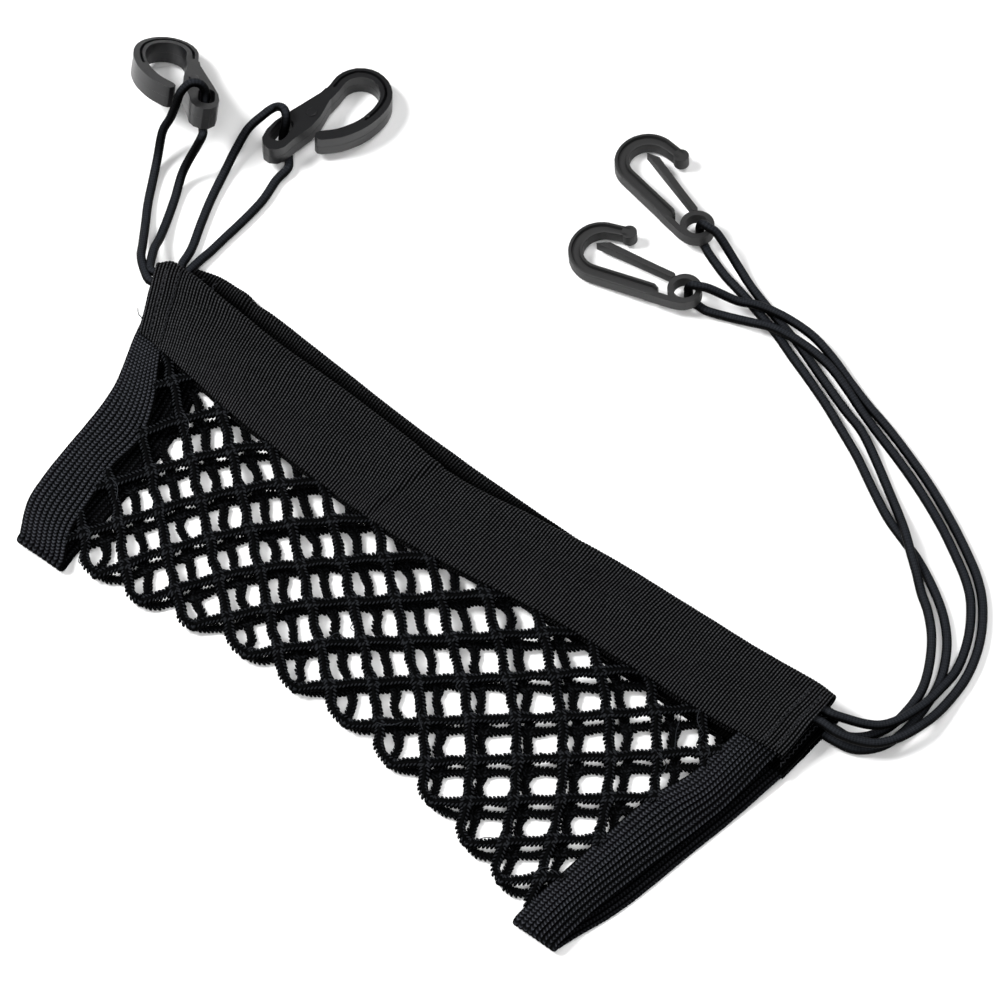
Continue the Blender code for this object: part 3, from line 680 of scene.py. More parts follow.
STITCH_SIZES = (
    ("Stitch Pitch", "NodeSocketFloat", 0.00125),
    ("Stitch Length", "NodeSocketFloat", 0.0012),
    ("Stitch Width", "NodeSocketFloat", 0.00065),
    ("Stitch Height", "NodeSocketFloat", 0.0009),
    ("Slant", "NodeSocketFloat", 0.65),
    ("Spread", "NodeSocketFloat", 0.00085),
    ("Core Radius", "NodeSocketFloat", 0.001),
    ("Core Step", "NodeSocketFloat", 0.0025),
    ("Seed", "NodeSocketInt", 3),
    ("Finish", "NodeSocketMaterial", None),
    ("Core Finish", "NodeSocketMaterial", None),
)


def stitch_tree():
    """Pairs of slanted stitches laid along every line of the mesh, as in a knitted cord."""
    tree = geometry_tree("Knitted Cord", STITCH_SIZES)
    given = tree.nodes.new("NodeGroupInput").outputs

    def add(kind, settings=None, **inputs):
        return put(tree, kind, settings, **inputs).outputs[0]

    def times(first, second):
        return add("ShaderNodeMath", {"operation": "MULTIPLY"}, _0=first, _1=second)

    def vector(x, y, z):
        return add("ShaderNodeCombineXYZ", X=x, Y=y, Z=z)

    def stepped(length):
        return add("GeometryNodeResampleCurve", {"mode": "LENGTH"}, Curve=lines, Length=length)

    lines = add("GeometryNodeMeshToCurve", Mesh=given["Geometry"])
    size = vector(given["Stitch Length"], given["Stitch Width"], given["Stitch Height"])
    bead = add("GeometryNodeMeshUVSphere", Segments=6, Rings=4, Radius=1.0)
    pair = tree.nodes.new("GeometryNodeJoinGeometry")
    for side in (1, -1):
        lag = times(given["Stitch Pitch"], 0.25 * side)
        moved = add(
            "GeometryNodeTransform",
            Geometry=bead,
            Translation=vector(lag, times(given["Spread"], side), 0.0),
            Rotation=vector(0.0, 0.0, times(given["Slant"], side)),
            Scale=size,
        )
        tree.links.new(moved, pair.inputs[0])
    ahead = add("GeometryNodeInputTangent")
    first = add("FunctionNodeAlignRotationToVector", {"axis": "X"}, Vector=ahead)
    level = add(
        "FunctionNodeAlignRotationToVector",
        {"axis": "Z", "pivot_axis": "X"},
        Rotation=first,
        Vector=(0.0, 0.0, 1.0),
    )
    swell = add("GeometryNodeInputNamedAttribute", {"data_type": "FLOAT"}, Name="swell")
    uneven = put(
        tree, "FunctionNodeRandomValue", {"data_type": "FLOAT"}, _2=0.9, _3=1.1, Seed=given["Seed"]
    ).outputs[1]
    laid = add(
        "GeometryNodeInstanceOnPoints",
        Points=stepped(given["Stitch Pitch"]),
        Instance=pair.outputs[0],
        Rotation=level,
        Scale=times(swell, uneven),
    )
    profile = add("GeometryNodeCurvePrimitiveCircle", Resolution=6, Radius=given["Core Radius"])
    core = add(
        "GeometryNodeCurveToMesh",
        Curve=stepped(given["Core Step"]),
        Profile_Curve=profile,
        Fill_Caps=True,
    )
    real = add("GeometryNodeRealizeInstances", Geometry=laid)
    both = tree.nodes.new("GeometryNodeJoinGeometry")
    for shape, finish in ((core, "Core Finish"), (real, "Finish")):
        soft = add("GeometryNodeSetShadeSmooth", Geometry=shape)
        done = add("GeometryNodeSetMaterial", Geometry=soft, Material=given[finish])
        tree.links.new(done, both.inputs[0])
    end = tree.nodes.new("NodeGroupOutput")
    tree.links.new(both.outputs[0], end.inputs[0])
    return tree


def stitched(name, lines, finish, core, shape):
    """One mesh of stitches along lines of millimetre points; each point is x, y, z, swell."""
    points, edges = [], []
    for line in lines:
        start = len(points)
        points += list(line)
        edges += [(start + i, start + i + 1) for i in range(len(line) - 1)]
    points = np.array(points, float)
    data = bpy.data.meshes.new(name)
    data.from_pydata([tuple(p) for p in points[:, :3] * MM], edges, [])
    swell = data.attributes.new("swell", "FLOAT", "POINT")
    swell.data.foreach_set("value", points[:, 3].astype(np.float32))
    made = linked(name, data)
    tree = bpy.data.node_groups.get("Knitted Cord") or stitch_tree()
    laid = made.modifiers.new("Stitches", "NODES")
    laid.node_group = tree
    inputs = [item for item in tree.interface.items_tree if item.in_out == "INPUT"]
    named = {item.name: item.identifier for item in inputs}
    laid[named["Finish"]] = finish
    laid[named["Core Finish"]] = core
    for label, value in shape.items():
        laid[named[label]] = value
    return frozen(made)


# ------------------------------------------------------------------------------ casings


SHADOW_START = 1.8   # painted shadow: the back casing is dark this far past the front casing's fold
SHADOW_REACH = 6.0   # and clears over this much more
TACK_SHARES = (0.06, 0.96)   # where a bar of stitches starts and ends across the leaf


def casing_rows(table):
    return smooth(table, 24)


def inside_casing(row, far, height):
    """The place this far from a station's hem towards its fold, this high over its underside."""
    x_fold, y_fold, x_hem, y_hem, low_fold, low_hem, _ = row
    share = far / math.hypot(x_fold - x_hem, y_fold - y_hem)
    low = low_hem + (low_fold - low_hem) * share
    return x_hem + (x_fold - x_hem) * share, y_hem + (y_fold - y_hem) * share, low + height


def casing_section(row, per_leaf=26, turns=11):
    """Points of one section, in millimetres: up the lower leaf, round the fold and back."""
    x_fold, y_fold, x_hem, y_hem, low_fold, low_hem, room = row
    width = math.hypot(x_fold - x_hem, y_fold - y_hem)
    radius = (room + LEAF) / 2
    reach = width - radius - LEAF / 2
    along = reach * np.linspace(0, 1, per_leaf)
    section = []
    for leaf in (0, 1):
        for far in along if leaf == 0 else along[::-1]:
            open_up = HEM_ROOM + (room - HEM_ROOM) * ease((far - HEM_FLAT) / HEM_FLAT)
            height = low_hem + (low_fold - low_hem) * far / width + LEAF / 2
            section.append((far, height + leaf * (open_up + LEAF)))
        if leaf == 0:
            middle = low_hem + (low_fold - low_hem) * reach / width + LEAF / 2 + radius
            for turn in np.radians(np.linspace(-80, 80, turns)):
                section.append(
                    (reach + radius * math.cos(turn), middle + radius * math.sin(turn))
                )
    side = ((x_fold - x_hem) / width, (y_fold - y_hem) / width)
    return np.array(
        [(x_hem + side[0] * far, y_hem + side[1] * far, high) for far, high in section]
    )


def casing_cloth(name, table, finish, rib_pitch, seed, creases=(), above=None):
    """A folded ribbon with raised ribs across it, creased and a little uneven."""
    rough = casing_rows(table)
    long = lengths_along((rough[:, :2] + rough[:, 2:4]) / 2)[-1]
    grid = np.array(
        [casing_section(row, 15, 7) for row in smooth(table, round(long / rib_pitch * 4) + 1)]
    )
    columns = grid.shape[1]
    u = lengths_along((grid[:, 0] + grid[:, columns // 2]) / 2)
    v = np.array([lengths_along(section) for section in grid])
    weft = u[:, None] + 0.5 * ripple(grid[..., 0], grid[..., 1], seed + 5, 34.0)
    uvs = np.stack([weft, v], axis=-1)
    lift = 0.16 * ripple(grid[..., 0], grid[..., 1], seed, 26.0) + 0.1 * ripple(
        grid[..., 0], grid[..., 1], seed + 2, 11.0
    )
    for middle, slant, depth, wide in creases:
        far = u[:, None] - middle - slant * (np.arange(columns)[None] / columns)
        lift -= depth * far / wide * np.exp(0.5 - 0.5 * (far / wide) ** 2)
    lift = lift * ease(np.minimum(u, u[-1] - u) / 12)[:, None]
    normal = np.cross(np.gradient(grid, axis=0), np.gradient(grid, axis=1))
    normal /= np.linalg.norm(normal, axis=2)[..., None]
    if normal[9, -4, 2] < 0:
        normal = -normal
    rib = RIB_RISE * (np.sin(weft * 2 * math.pi / rib_pitch) * 0.5 - 0.2)
    grid = grid + normal * rib[..., None]
    grid[..., 2] += lift
    grid[..., 2] = np.maximum(grid[..., 2], LEAF / 2 + 0.02)
    made = sheet_object(name, grid, uvs, RIBBON_BODY, finish)
    # painted shadow: 0 on the back casing just past the front casing's fold, 1 clear of it
    clear = np.ones(grid.shape[:2])
    if above is not None:
        fold = np.interp(grid[..., 0], above[:, 0], above[:, 1])
        clear = ease((grid[..., 1] - fold - SHADOW_START) / SHADOW_REACH)
    layer = made.data.attributes.new("clear", "FLOAT", "POINT")
    layer.data.foreach_set("value", clear.ravel().astype(np.float32))
    return made


def hem_at(rows, x):
    y = np.interp(x, rows[:, 2], rows[:, 3])
    width = np.hypot(rows[:, 0] - rows[:, 2], rows[:, 1] - rows[:, 3])
    slope = np.interp(x, rows[:, 2], (rows[:, 4] - rows[:, 5]) / width)
    low = np.interp(x, rows[:, 2], rows[:, 5])
    return y, low + HEM_LIFT, slope


def layer_height(rows, x, y, rest):
    """Height of a layer's middle: level with its casing inside it, then down to rest."""
    hem, high, slope = hem_at(rows, x)
    down = high + (rest - high) * ease((hem - y - 1) / DRAPE)
    return np.where(y >= hem, high + slope * (y - hem), down)


def bartack_line(step, station, wide, count):
    """A zigzag of thread across the casing's upper leaf, step being the way along it."""
    section = casing_section(station)
    leaf = section[len(section) // 2 + 6 :][::-1]
    along = lengths_along(leaf)
    line = []
    for index, share in enumerate(np.linspace(*TACK_SHARES, count)):
        place = [np.interp(share * along[-1], along, column) for column in leaf.T]
        shift = wide / 2 if index % 2 else -wide / 2
        x, y = place[0] + step[0] * shift, place[1] + step[1] * shift
        line.append((x, y, place[2] + LEAF / 2 + 0.05, 1.0))
    return line


# -------------------------------------------------------------------------------- bands


BAND_STATIONS = 110  # down each half
BAND_COLUMNS = 73
BAND_THICK = 1.15
BAND_LOWEST = 0.62   # height of the lowest middle of the band's sheet
WALE_RISE = 0.34     # height of a lengthways rib


def fold_turn(y, low, high, steps):
    """Points round a fold at y, as y and height, for turns in degrees."""
    radius = (high - low) / 2
    turns = np.radians(steps)
    return zip(y - radius * np.cos(turns), low + radius + radius * np.sin(turns))


def band_grid(front, back, casings):
    """Points over the whole band, down its front half, round the fold and up its back half."""
    grid = []
    for rows, table in zip(casings, (front, back[::-1])):
        rest = LAYER_HIGH if table is front else LAYER_LOW
        for y, left, right in smooth(table, BAND_STATIONS):
            x = np.linspace(left, right, BAND_COLUMNS)
            high = layer_height(rows, x, np.full_like(x, y), rest)
            grid.append(np.stack([x, np.full_like(x, y), high], axis=1))
        if table is front:
            y_fold, left, right = front[-1]
            x = np.linspace(left, right, BAND_COLUMNS)
            for y, high in fold_turn(y_fold, LAYER_LOW, LAYER_HIGH, range(75, -90, -15)):
                grid.append(np.stack([x, np.full_like(x, y), np.full_like(x, high)], axis=1))
    return np.array(grid)


def facing(grid):
    """Upward normals of the sheet, as it was before it was folded."""
    along, across = np.gradient(grid, axis=0), np.gradient(grid, axis=1)
    normal = np.cross(along, across)
    normal /= np.maximum(np.linalg.norm(normal, axis=2), 1e-9)[..., None]
    return normal if normal[5, 5, 2] > 0 else -normal


def band_cloth(name, front, back, casings, ribs, finish, seed):
    grid = band_grid(front, back, casings)
    columns = grid.shape[1]
    wide = np.linalg.norm(grid[:, -1] - grid[:, 0], axis=1).mean()
    v = lengths_along(grid[:, columns // 2])
    share = np.linspace(0, 1, columns)
    uvs = np.stack(np.broadcast_arrays(share[None] * wide, v[:, None]), axis=-1)
    normal = facing(grid)
    wale = np.abs(np.sin(math.pi * ribs * share)) ** 0.75
    lift = WALE_RISE * (wale - 0.6)[None] + 0.18 * ripple(grid[..., 0], grid[..., 1], seed, 21.0)
    grid = grid + normal * (lift * ease(np.minimum(v, v[-1] - v) / 10)[:, None])[..., None]
    grid[..., 2] = np.maximum(grid[..., 2], BAND_LOWEST)
    return sheet_object(name, grid, uvs, BAND_THICK, finish)


# ---------------------------------------------------------------------------------- net


ALONG = np.array([math.cos(CELL_TURN), math.sin(CELL_TURN)])
DOWN = np.array([math.sin(CELL_TURN), -math.cos(CELL_TURN)])
FIRST = np.array(FIRST_CELL)
CORNER = 0.24        # how far from a bottom knot a strand starts to turn, in rows
STRAY_NET = (
    (109.5, -9.0, 6.4), (112.0, -13.5, 7.0), (113.6, -18.0, 6.8), (116.4, -22.5, 6.4),
    (118.6, -26.4, 6.0),
)
STRAY_END = ((-138.2, -1.5, 8.6), (-140.6, 0.2, 9.2), (-142.6, 0.8, 8.8), (-145.0, 3.2, 7.6))
FILAMENT_RADIUS = 0.17
SWAY_FRONT = 0.5     # how far strands sway out of their straight lines, in mm
SWAY_BACK = 0.9
FOLD_DEPTH = 2.0     # rows of knots from the first cell down to the bottom fold
TOP_DEPTH = -9.5     # and up to beyond the casings
LINES_EACH_WAY = 16
PITCH_A = 15.2       # from knot to knot along each set of lines, in mm
PITCH_B = 15.8
LEAN = 3.9           # how far a row of knots leans over the next, in mm
SLIP_MOST = 7.2      # how far the back layer has slipped along its rows, in mm
SLIP_LEAST = 3.3
SOFTENING = 3.6      # how far apart a strand's turns are blended, in mm
STEP = 0.25
KNOT_SWELL = 0.34    # how much thicker a strand is at a knot
KNOT_SIZE = 0.16     # in rows
BACK_WIDTH = 0.9     # the back layer's strands beside the front layer's
HEM_GAP = 3.5        # strands stop this far short of the end of the tuck
BAND_OVERLAP = 1.2   # and reach this far into a band


def knot(a, b):
    """Where the mesh's lines a and b cross on the front layer, before the fold is fitted.

    Past the two pitches and the lean, the terms spread the knots where the mesh is stretched.
    """
    a, b = np.asarray(a, float) + 0.5, np.asarray(b, float) + 0.5
    x = PITCH_A * a + 1.35 * np.log(np.cosh(a / 1.5)) + LEAN * b
    x -= np.maximum(0, b + 0.6) ** 2
    y = PITCH_B * b - 0.5 * a + 0.65 * np.maximum(0, -a - 1) ** 2
    return FIRST + (x - 1.2)[..., None] * ALONG + (y - 0.8)[..., None] * DOWN


def front_place(a, b):
    """The same, with the last rows drawn onto the bottom fold."""
    a, b = np.asarray(a, float), np.asarray(b, float)
    place = knot(a, b)
    both = a + b
    end = knot((both - FOLD_DEPTH) / 2, (both + FOLD_DEPTH) / 2)
    fold = np.array(NET_FOLD)
    short = np.interp(end[..., 0], fold[:, 0], fold[:, 1]) - 1.0 - end[..., 1]
    place[..., 1] += short * ease((b - a + 2) / (FOLD_DEPTH + 2))
    return place


def back_place(a, b):
    """The back layer has slipped along its rows, least at the lower right, and dropped there."""
    place = front_place(a, b)
    side = ease((place[..., 0] - 20) / 50)
    upper = ease((place[..., 1] + 62) / 34)
    slip = SLIP_MOST + (SLIP_LEAST - SLIP_MOST) * side * (1 - 0.75 * upper)
    drop = 0.4 + 3.0 * side
    free = 1 - ease((b - a - FOLD_DEPTH + 0.5) / 0.5)
    return place + (slip * free)[..., None] * ALONG + (drop * free)[..., None] * DOWN


def soften(line):
    """Resamples a line evenly and rounds its corners."""
    along = lengths_along(line)
    line = read_at(line, along, np.arange(0, along[-1], STEP))
    weights = np.exp(-0.5 * (np.arange(-24, 25) * STEP / SOFTENING * 1.6) ** 2)
    weights /= weights.sum()
    padded = np.vstack([2 * line[0] - line[24:0:-1], line, 2 * line[-1] - line[-2:-26:-1]])
    return np.stack([np.convolve(column, weights, "valid") for column in padded.T], axis=1)


def band_edge(table, column, y):
    table = np.array(table)
    return np.interp(-y, -table[:, 0], table[:, column])


def strand_lines(front_rows, back_rows):
    """The net's strands as lines of x, y, height and swell, split into front and back."""
    kept = {"front": [], "back": []}
    for index in range(-LINES_EACH_WAY, LINES_EACH_WAY):
        for falling in (True, False):
            depth = np.linspace(TOP_DEPTH, FOLD_DEPTH - CORNER, 260)
            if falling:     # front: line b is fixed and a falls towards the fold
                turn = np.full_like(depth, index - FOLD_DEPTH)
                front_a, front_b = index - depth, np.full_like(depth, index)
                back_a, back_b = turn, turn + depth[::-1]
                moving = front_a, back_b
            else:           # front: line a is fixed and b rises towards the fold
                turn = np.full_like(depth, index + FOLD_DEPTH)
                front_a, front_b = np.full_like(depth, index), index + depth
                back_a, back_b = turn - depth[::-1], turn
                moving = front_b, back_a
            front, back = front_place(front_a, front_b), back_place(back_a, back_b)
            moving = np.concatenate(moving)
            flat = np.vstack([front, back])
            nearest = np.abs(moving - np.round(moving))
            layer = np.concatenate([np.zeros(len(front)), np.ones(len(back))])
            line = soften(np.column_stack([flat, nearest * 10, layer * 10]))
            share = line[:, 3] / 10
            sway = [ripple(line[:, 0], line[:, 1], seed, 15.0) for seed in (1.7, 5.1)]
            reach = SWAY_FRONT + (SWAY_BACK - SWAY_FRONT) * share
            line[:, :2] += np.stack(sway, axis=1) * reach[:, None]
            x, y = line[:, 0], line[:, 1]
            high = layer_height(front_rows, x, y, LAYER_HIGH)
            low = layer_height(back_rows, x, y, LAYER_LOW + 0.25)
            z = high * (1 - share) + low * share
            swell = 1 + KNOT_SWELL * np.exp(-((line[:, 2] / 10 / KNOT_SIZE) ** 2))
            for side, rows, tables in (
                ("front", front_rows, (LEFT_FRONT, RIGHT_FRONT)),
                ("back", back_rows, (LEFT_BACK, RIGHT_BACK)),
            ):
                inside = (share < 0.5) if side == "front" else (share >= 0.5)
                hem = np.interp(x, rows[:, 2], rows[:, 3])
                inside &= y < hem + TUCK - HEM_GAP
                inside &= x > band_edge(tables[0], 2, y) - BAND_OVERLAP
                inside &= x < band_edge(tables[1], 1, y) + BAND_OVERLAP
                width = 1.0 if side == "front" else BACK_WIDTH
                cuts = np.flatnonzero(np.diff(inside.astype(int)))
                for run in np.split(np.arange(len(x)), cuts + 1):
                    if inside[run[0]] and len(run) > 16:
                        kept[side].append(
                            np.column_stack([x[run], y[run], z[run], swell[run] * width])
                        )
    return kept


def loose_lines(lines, count, seed):
    """Fine filaments that have worked loose along the strands, and two longer stray ends."""
    draw = np.random.default_rng(seed)
    found = []
    for _ in range(count):
        line = lines[draw.integers(len(lines))]
        size = int(draw.integers(24, 52))
        if len(line) < size + 8:
            continue
        start = int(draw.integers(2, len(line) - size - 2))
        run = line[start : start + size, :3].copy()
        arch = np.sin(np.linspace(0, math.pi, size))
        ahead = run[-1] - run[0]
        side = np.array([-ahead[1], ahead[0], 0]) / max(np.linalg.norm(ahead[:2]), 1e-6)
        run += side * (draw.choice([-1, 1]) * draw.uniform(1.6, 3.0) * arch)[:, None]
        run[:, 2] += 1.1 + 0.5 * arch
        found.append(run[::4])
    found.append(smooth(STRAY_NET, 20))
    found.append(smooth(STRAY_END, 12))
    return found


def threads(name, lines, radius, finish):
    """One mesh of fine round threads."""
    return merged(name, [tube("thread", line, radius, finish, sides=5) for line in lines], finish)


# --------------------------------------------------------------------------------- cords


def hook_turn(placing):
    heading, pitch, roll = placing[3:]
    return Euler((math.radians(roll), math.radians(pitch), math.radians(heading))).to_matrix()


def hook_matrix(placing):
    return Matrix.Translation(Vector(placing[:3]) * MM) @ hook_turn(placing).to_4x4()


def cord_route(name, casings):
    """The free run, with straight ends between the leaves of its casing."""
    which, index, first, last = CORD_ENDS[name]
    rows = casings[which]
    inner = 1 if index == 0 else -2
    ends = []
    for far in (first, last):
        stations = (rows[index], rows[inner])
        mouth, within = (
            np.array(inside_casing(row, far, LEAF + row[-1] / 2)) for row in stations
        )
        step = (within - mouth) / np.linalg.norm(within - mouth)
        ends.append([mouth + step * CORD_INSIDE, mouth + step * 4, mouth, mouth - step * 3])
    placing, way, order = CORD_HOOKS[name]
    turn = hook_turn(placing)
    middle = Vector(placing[:3])
    through = [middle + turn @ Vector(point) for point in PASSES[way][::order]]
    there, back = ROUTES[name]
    return np.vstack([ends[0], there, through, back, ends[1][::-1]]), ends[0][2]


# --------------------------------------------------------------------------------- hooks


def filled(name, loops, low, high):
    """A flat outline in millimetres, extruded from one height to another; extra loops are holes."""
    curve = bpy.data.curves.new(name, "CURVE")
    curve.dimensions = "2D"
    curve.fill_mode = "BOTH"
    curve.extrude = (high - low) / 2 * MM
    for loop in loops:
        spline = curve.splines.new("POLY")
        spline.points.add(len(loop) - 1)
        for point, (x, y) in zip(spline.points, loop):
            point.co = (x * MM, y * MM, 0, 1)
        spline.use_cyclic_u = True
    made = linked(name, curve)
    bpy.context.view_layer.update()
    made = frozen(made)
    made.data.transform(Matrix.Translation((0, 0, (high + low) / 2 * MM)))
    return welded(made)


def strip_outline(middle, width):
    """Closed outline of a strip with round ends along a middle line, in millimetres."""
    middle = np.array(middle, float)
    side = sideways(middle) * width / 2
    outline = list(middle + side)
    for end, sign in ((-1, 1), (0, -1)):
        start = math.atan2(*(side[end] * sign)[::-1])
        for turn in (-30, -60, -90, -120, -150):
            angle = start + math.radians(turn)
            outline.append(
                middle[end] + width / 2 * np.array([math.cos(angle), math.sin(angle)])
            )
        if end == -1:
            outline += list((middle - side)[::-1])
    return outline


def arc(centre, radius_x, radius_y, start, stop, count):
    angles = np.radians(np.linspace(start, stop, count))
    return [
        (centre[0] + radius_x * math.cos(a), centre[1] + radius_y * math.sin(a)) for a in angles
    ]


def cut_away(body, cutter):
    cut = body.modifiers.new("Cut", "BOOLEAN")
    cut.operation = "DIFFERENCE"
    cut.object = cutter
    bpy.context.view_layer.update()
    body = frozen(body)
    bpy.data.objects.remove(cutter, do_unlink=True)
    return body


def part_copy(node, name, place, mirror):
    """A welded copy of a CAD node in its hook's own plane, in metres, and the way back."""
    data = bpy.data.objects[node].data.copy()
    back = place @ MIRRORED if mirror else place
    data.transform(back.inverted())
    with edited(data) as mesh:
        bmesh.ops.remove_doubles(mesh, verts=mesh.verts, dist=2e-6)
        bmesh.ops.dissolve_limit(
            mesh, angle_limit=math.radians(1.0), verts=mesh.verts, edges=mesh.edges
        )
        bmesh.ops.recalc_face_normals(mesh, faces=mesh.faces)
    return linked(name, data), back


def rounded_edges(made, width, segments):
    bevel = made.modifiers.new("Rounding", "BEVEL")
    bevel.width = width * MM
    bevel.segments = segments
    bevel.limit_method = "ANGLE"
    bevel.angle_limit = math.radians(35)
    return frozen(made)


def halves(made, height):
    """Splits a moulding at its parting plane and closes both halves."""
    parts = []
    for sign in (1, -1):
        data = bpy.data.meshes.new("half")
        with edited(data, made.data) as mesh:
            cut = bmesh.ops.bisect_plane(
                mesh,
                geom=mesh.verts[:] + mesh.edges[:] + mesh.faces[:],
                plane_co=(0, 0, height * MM),
                plane_no=(0, 0, sign),
                clear_inner=True,
            )
            rim = [item for item in cut["geom_cut"] if isinstance(item, bmesh.types.BMEdge)]
            bmesh.ops.triangle_fill(mesh, edges=rim, use_beauty=True, use_dissolve=True)
            bmesh.ops.recalc_face_normals(mesh, faces=mesh.faces)
        parts.append(linked("half", data))
    bpy.data.objects.remove(made, do_unlink=True)
    return parts


def as_one(name, parts, finish, place):
    """Joins a moulding's parts in its place, with crisp edges and level faces."""
    made = merged(name, parts, finish, place)
    made.data.set_sharp_from_angle(angle=math.radians(32))
    weighted = made.modifiers.new("Normals", "WEIGHTED_NORMAL")
    weighted.keep_sharp = True
    return frozen(made)


def snap_hook(name, node, placing, mirror, finish):
    place = hook_matrix(placing)
    body, back = part_copy(node, name + "_body", place, mirror)
    channel = strip_outline(smooth(SNAP_GROOVE, 48), SNAP_CHANNEL)
    deep = 1.5 * SNAP_CHANNEL
    parts = []
    for part, high in zip(halves(body, SNAP_THICK / 2), (SNAP_THICK, 0.0)):
        cutter = filled("channel", [channel], high - deep, high + deep)
        parts.append(cut_away(rounded_edges(part, 0.45, 3), cutter))
    for low, high in ((SNAP_THICK - 0.4, SNAP_THICK + BOSS_PROUD), (-BOSS_PROUD, 0.4)):
        boss = filled("boss", [arc(SNAP_BOSS, BOSS_RADIUS, BOSS_RADIUS, 0, 340, 18)], low, high)
        parts.append(rounded_edges(boss, 0.3, 2))
    nub = arc(SNAP_NUB, 1.7, 1.2, 0, 340, 16)
    nub = filled("nub", [nub], SNAP_NUB_LOW, SNAP_THICK - SNAP_NUB_LOW)
    parts.append(rounded_edges(nub, 0.4, 2))
    return as_one(name, parts, finish, back)


def swept(name, middle, widths, section):
    """A closed bar along a flat middle line; section gives its outline at a width."""
    middle = np.array(middle, float)
    points = []
    for place, across, wide in zip(middle, sideways(middle), widths):
        points += [(*(place + across * far), high) for far, high in section(wide)]
    count = len(section(1.0))
    faces = []
    for low in range(0, len(points) - count, count):
        for j in range(count):
            after = (j + 1) % count
            faces.append((low + j, low + after, low + count + after, low + count + j))
    faces += [tuple(range(count)), tuple(range(len(points) - count, len(points)))]
    return welded(new_object(name, points, faces))


def rimmed(wide):
    """Section of the J hook's bar: a channel between two rims on each face."""
    half, soft = wide / 2, 0.45
    rim = min(J_RIM, half * 0.5)
    upper = [
        (half, J_THICK - soft), (half - soft * 0.3, J_THICK - soft * 0.3), (half - soft, J_THICK),
        (half - rim, J_THICK), (half - rim - 0.3, J_THICK - J_CHANNEL),
    ]
    upper += [(-far, high) for far, high in upper[::-1]]
    return upper + [(-far, J_THICK - high) for far, high in upper]


def j_hook(name, placing, finish):
    """A channelled shank and bow that narrow to a round knob, and an eye ring on a thin neck."""
    radius = (J_ARM_Y - J_SHANK_Y) / 2
    shank_end = (J_SHANK_END - J_WIDTH / 2 + 0.6, J_SHANK_Y)
    middle = smooth(
        [shank_end, (16.0, J_SHANK_Y), (J_BOW_X - 6, J_SHANK_Y)]
        + arc((J_BOW_X, J_SHANK_Y + radius), radius, radius, -90, 84, 14)
        + [J_ARM_END],
        90,
    )
    along = lengths_along(middle) / lengths_along(middle)[-1]
    to_tip = ease((along - J_TAPER_START) / J_TAPER_REACH)
    widths = J_WIDTH - (J_WIDTH - J_TIP_WIDTH) * to_tip
    widths -= J_ROOT_TAPER * (1 - ease(along / J_ROOT_REACH))
    bar = swept("bar", middle, widths, rimmed)
    knob = filled("knob", [arc(J_ARM_END, J_KNOB, J_KNOB, 0, 350, 36)], 0, J_THICK)
    inner, outer = J_EYE
    eye = filled("eye", [arc((0, 0), r, r, 0, 352.5, 48) for r in (outer, inner)], 0, J_THICK)
    low = J_SHANK_Y - J_WIDTH / 2
    rise = ((13.0, 1.1), (7.0, 1.1), (2.0, 1.15), (-1.5, 1.9), (-3.6, 3.3))
    neck = strip_outline(smooth([(x, low + y) for x, y in rise], 24), NECK_WIDTH)
    neck = filled("neck", [neck], 0.1, J_THICK - 0.1)
    parts = [bar, rounded_edges(knob, 0.6, 3), rounded_edges(eye, 0.5, 3)]
    parts.append(rounded_edges(neck, 0.4, 2))
    return as_one(name, parts, finish, hook_matrix(placing) @ MIRRORED)


def j_tongue(name, node, placing, finish):
    place = hook_matrix(placing)
    body, back = part_copy(node, name + "_body", place, True)
    return as_one(name, [rounded_edges(body, 0.3, 2)], finish, back)


# ----------------------------------------------------------------------------- settings


def length_setting(name, description, default, low, high, precision=5):
    return bpy.props.FloatProperty(
        name=name, description=description, default=default, min=low, max=high,
        precision=precision, subtype="DISTANCE", unit="LENGTH",
    )


def colour_setting(name, description, default):
    return bpy.props.FloatVectorProperty(
        name=name, description=description, default=default, size=3, min=0, max=1, subtype="COLOR"
    )


class StorageNetSizes(bpy.types.PropertyGroup):
    """Sizes that a user would change"""

    cord_diameter: length_setting(
        "Cord diameter", "Across the elastic cord", CORD * MM, 0.002, 0.006, 4
    )
    rib_pitch: length_setting(
        "Ribbon rib pitch", "From one grosgrain rib to the next", 0.00122, 0.0005, 0.004
    )
    band_ribs: bpy.props.IntProperty(
        name="Band ribs", description="Lengthways knitted ribs in a side band", default=9,
        min=3, max=20,
    )
    stitch_pitch: length_setting(
        "Stitch pitch", "From one stitch to the next along a net strand", 0.00138, 0.0008, 0.004
    )
    strand_width: length_setting(
        "Strand width", "Across one knitted strand of the net", 0.0048, 0.0015, 0.006
    )
    camera_lens: bpy.props.FloatProperty(
        name="Camera lens", description="Focal length of the camera in millimetres",
        default=150.66, min=20, max=300,
    )


class StorageNetColours(bpy.types.PropertyGroup):
    """Colours that a user would change"""

    ribbon: colour_setting("Ribbon", "Grosgrain of the casings", (0.0040, 0.0041, 0.0044))
    knit: colour_setting("Net yarn", "Knitted strands of the net", (0.0040, 0.0043, 0.0049))
    elastic: colour_setting("Side bands", "Knitted elastic bands", (0.0050, 0.0053, 0.0062))
    braid: colour_setting("Cords", "Braided sheath of the cords", (0.0048, 0.0053, 0.0064))
    nylon: colour_setting("Snap hooks", "Moulded snap hooks", (0.0042, 0.0043, 0.0050))
    acetal: colour_setting("J hooks", "Moulded J hooks and tongues", (0.0115, 0.0115, 0.0118))
    thread: colour_setting("Thread", "Sewing thread and loose filaments", (0.0050, 0.0052, 0.0058))
    floor: colour_setting("Floor", "Plain floor", (0.93, 0.93, 0.93))


